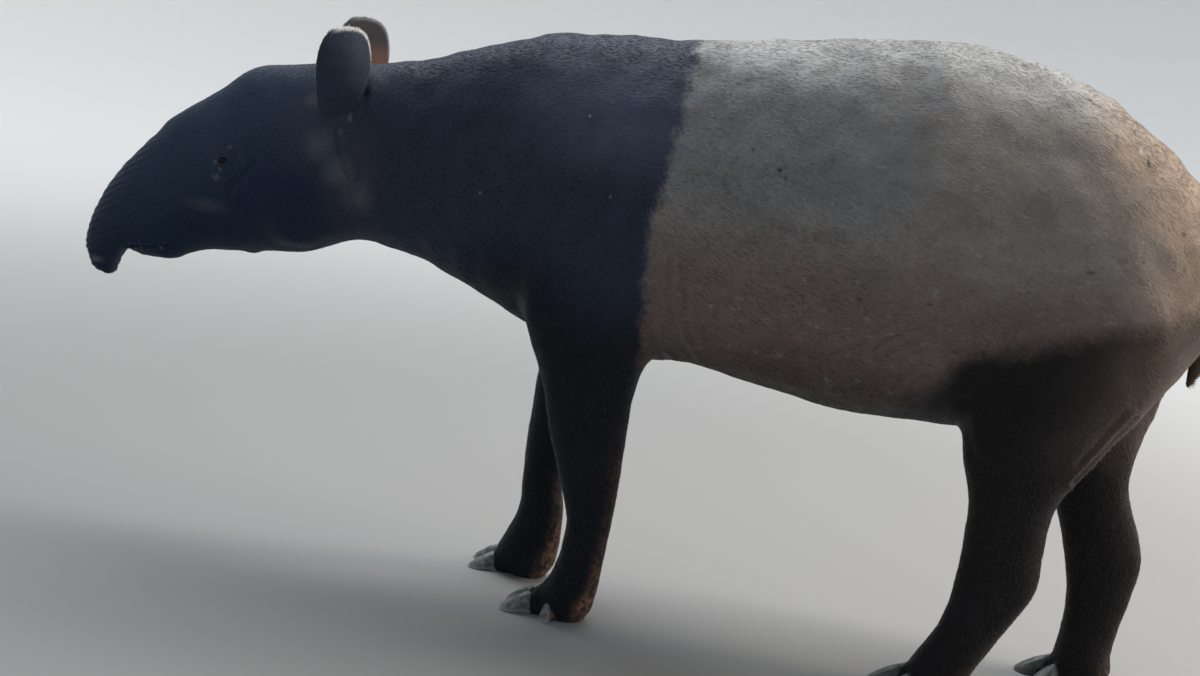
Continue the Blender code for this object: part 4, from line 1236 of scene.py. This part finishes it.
def markings_group():
    """The animal's markings: colour, 1 where it is pale, and the height of the hide's grain."""
    group = bpy.data.node_groups.new("markings", "ShaderNodeTree")
    for name, way, kind in (("Place", "INPUT", "Vector"), ("White", "INPUT", "Float"),
                            ("Hollow", "INPUT", "Float"), ("Mud", "INPUT", "Float"),
                            ("Colour", "OUTPUT", "Color"), ("Pale", "OUTPUT", "Float"),
                            ("Grain", "OUTPUT", "Float")):
        group.interface.new_socket(name, in_out=way, socket_type="NodeSocket" + kind)
    given = group.nodes.new("NodeGroupInput").outputs
    place = given["Place"]
    x, y, z = node(group, "SeparateXYZ", {0: place}).outputs
    pale = saddle_share(place, x, z)
    colour = blend_colour(pale, black_colour(place, x, z), saddle_colour(place, x, z))
    near = times(calc("ABSOLUTE", y), -1.0)
    folded = node(group, "CombineXYZ", {0: x, 1: near, 2: z}).outputs[0]
    for mark in MARKS:
        where = folded if mark.centre[0] < HEAD_STARTS else place
        share = spot(where, mark.centre, mark.radii, mark.share)
        colour = blend_colour(share, colour, mark.colour)
    patchy = ramp(noise(place, 70.0, 5.0, 0.75), 0.38, 0.68)
    colour = layered(
        colour,
        (times(given["Mud"], patchy), blend_colour(ramp(z, 0.16, 0.04), MUD, MUD_PALE)),
        (given["Hollow"], blend_colour(ramp(z, 0.945, 0.9), EAR_GREY, EAR_PINK)),
        (given["White"], WHITE_HAIR),
    )
    grain = noise(place, 75.0, 4.0, 0.65)
    out = group.nodes.new("NodeGroupOutput")
    set_inputs(out, {"Colour": colour, "Pale": pale, "Grain": grain})
    return group


def mark_value(tree, name):
    """What the mesh says at each point under this name."""
    return node(tree, "Attribute", attribute_name=name).outputs["Fac"]


def coat_materials(group):
    """The skin's and the hair's materials, which share the markings."""
    made = []
    for name, hair in (("skin", False), ("hair", True)):
        material, tree, shader = new_material(name)
        place = object_place(tree)
        given = {mark: mark_value(tree, mark.lower()) for mark in ("White", "Hollow", "Mud")}
        marks = node(tree, "Group", {"Place": place, **given}, node_tree=group).outputs
        if hair:
            light = ramp(mark_value(tree, "tone"), 0.0, 1.0, 0.9, 1.12)
            height = marks["Grain"]
        else:
            fine = noise(place, 420.0, 3.0, 0.6)
            light = ramp(fine, 0.3, 0.7, 0.8, 1.05)
            height = scaled(fine, 0.35, marks["Grain"])
        lit = node(tree, "VectorMath", {0: marks["Colour"], "Scale": light}, operation="SCALE")
        set_inputs(shader, {
            "Base Color": lit.outputs["Vector"],
            "Normal": grain_normal(height, 0.55, 0.0022),
            "Roughness": ramp(marks["Pale"], 0.0, 1.0, 0.56, 0.75),
            "Specular IOR Level": 0.1,
            "Sheen Weight": 0.12,
            "Sheen Roughness": 0.45,
            "Sheen Tint": (0.8, 0.88, 1.0, 1.0),
        })
        made.append(material)
    return made


def make_eyes():
    """Each eye: a ball with a raised cornea, dark and wet."""
    material, tree, shader = new_material("eye")
    set_inputs(shader, {
        "Base Color": (0.0025, 0.003, 0.0045, 1.0),
        "Roughness": 0.1,
        "Specular IOR Level": 0.14,
    })
    for side, word in ((LEFT, "left"), (RIGHT, "right")):
        centre, along, up, out = eye_axes(side)
        radius = EYE_RADIUS - EYE_GAP
        bpy.ops.mesh.primitive_uv_sphere_add(segments=48, ring_count=32, radius=radius)
        eye = bpy.context.object
        eye.name = "eyeball_" + word
        points = read_points(eye.data)
        bulge = CORNEA_RISE * step(points[:, 2] / EYE_RADIUS, 0.8, 0.95)
        points = points * (1.0 + bulge / EYE_RADIUS)[:, None]
        axes = np.stack([along, up, out])
        write_points(eye.data, points @ axes + centre)
        if np.linalg.det(axes) < 0:
            eye.data.flip_normals()
        eye.data.shade_smooth()
        eye.data.materials.append(material)
        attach(eye, "root")
        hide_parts("eye_" + word)


def horn_material():
    """Grained horn, worn pale along its edges and darker on the hind feet."""
    material, tree, shader = new_material("horn")
    place = object_place(tree)
    x, y, z = node(tree, "SeparateXYZ", {0: place}).outputs
    grain = noise(place, 90.0, 4.0, 0.6)
    wear = node(tree, "NewGeometry").outputs["Pointiness"]
    colour = layered(
        blend_colour(ramp(grain, 0.38, 0.7), HORN_DARK, HORN_PALE),
        (ramp(z, 0.0, 0.01, 0.75, 0.0), HORN_EDGE),
        (ramp(wear, 0.52, 0.6, 0.0, 0.7), HORN_EDGE),
        (ramp(x, 0.2, 0.4, 0.0, 0.6), HORN_HIND),
    )
    normal = grain_normal(grain, 0.4, 0.0006)
    set_inputs(shader, {"Base Color": colour, "Roughness": 0.48, "Normal": normal})
    return material


def make_hooves():
    """Each hoof, rounded from its solid, with its sole on the floor."""
    material = horn_material()
    for name in nodes_that("hoof_"):
        horn = merged_copy([name], name.replace("hoof_", "horn_"))
        remesh(horn, HOOF_CELL)
        low = read_points(horn.data)[:, 2] < HOOF_SOLE
        smooth_by(horn, np.where(low, HOOF_SOLE_SHARE, 1.0), HOOF_PASSES)
        points = read_points(horn.data)
        points[:, 2] = np.maximum(points[:, 2], 0.0)
        write_points(horn.data, points)
        horn.data.shade_smooth()
        horn.data.materials.append(material)
        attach(horn, "root")
        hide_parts(name)


def make_floor():
    """A pale floor that curves up all round into a plain backdrop."""
    bm = bmesh.new()
    rows = [(FLOOR_FLAT * i / 4, 0.0) for i in range(5)]
    for i in range(1, FLOOR_STEPS + 1):
        turn = math.radians(70) * i / FLOOR_STEPS
        rows.append((FLOOR_FLAT + FLOOR_BEND * math.sin(turn), FLOOR_BEND * (1.0 - math.cos(turn))))
    line = [bm.verts.new((x, 0.0, z)) for x, z in rows]
    edges = [bm.edges.new(pair) for pair in zip(line, line[1:])]
    full = math.radians(360)
    bmesh.ops.spin(bm, geom=line + edges, axis=(0, 0, 1), cent=(0, 0, 0), angle=full, steps=96)
    bmesh.ops.remove_doubles(bm, verts=bm.verts, dist=1e-4)
    bmesh.ops.recalc_face_normals(bm, faces=bm.faces)
    if sum(face.normal.z for face in bm.faces) < 0:
        bmesh.ops.reverse_faces(bm, faces=bm.faces)
    floor = object_from(bm, "floor")
    floor.data.shade_smooth()
    floor.data.materials.append(floor_material())


def floor_material():
    """Grey underfoot, paler far off, with a light of its own where it is the backdrop."""
    material, tree, shader = new_material("floor")
    away = length_of(object_place(tree))
    set_inputs(shader, {
        "Base Color": blend_colour(ramp(away, 1.5, 7.0), FLOOR_NEAR, FLOOR_FAR),
        "Emission Strength": ramp(away, 3.0, 7.5, 0.0, BACKDROP_GLOW),
        "Emission Color": (0.96, 0.98, 1.0, 1.0),
        "Roughness": 0.85,
        "Specular IOR Level": 0.2,
    })
    return material


def area_light(name, place, target, size, power, colour):
    light = bpy.data.lights.new(name, "AREA")
    light.shape = "RECTANGLE"
    light.size, light.size_y = size
    light.energy = power
    light.color = colour
    obj = link(bpy.data.objects.new(name, light))
    obj.location = place
    obj.rotation_euler = (Vector(target) - Vector(place)).to_track_quat("-Z", "Y").to_euler()


def make_light():
    """A pale sky with soft light from above and behind, as on an overcast day."""
    world = bpy.data.worlds.new("studio")
    bpy.context.scene.world = world
    world.use_nodes = True
    set_inputs(world.node_tree.nodes["Background"], {0: (0.78, 0.87, 1.0, 1.0), 1: 0.3})
    area_light("top", (0.2, 2.2, 5.4), (0.2, 0.0, 0.9), (8.0, 4.0), 560, (0.95, 0.98, 1.0))
    area_light("rear", (4.4, 0.6, 2.6), (0.8, 0.0, 0.7), (2.2, 2.2), 200, (1.0, 0.84, 0.66))
    area_light("side", (-2.4, -4.2, 2.6), (-0.2, 0.0, 0.6), (3.0, 2.5), 14, (0.72, 0.86, 1.0))
    bpy.context.scene.view_settings.view_transform = "Standard"


def make_camera():
    data = bpy.data.cameras.new("camera")
    data.lens = CAMERA_LENS
    data.sensor_width = 36.0
    camera = link(bpy.data.objects.new("camera", data))
    stand = Matrix.Translation(CAMERA_PLACE)
    level = math.radians(90)
    for turn, axis in ((CAMERA_TURN, "Z"), (level - CAMERA_DOWN, "X"), (CAMERA_ROLL, "Z")):
        stand = stand @ Matrix.Rotation(turn, 4, axis)
    camera.matrix_world = stand
    bpy.context.scene.camera = camera


def build():
    skin = make_skin()
    group = markings_group()
    skin_look, hair_look = coat_materials(group)
    skin.data.materials.append(skin_look)
    make_coat(skin, hair_look)
    make_eyes()
    make_hooves()
    make_floor()
    make_light()
    make_camera()


build()
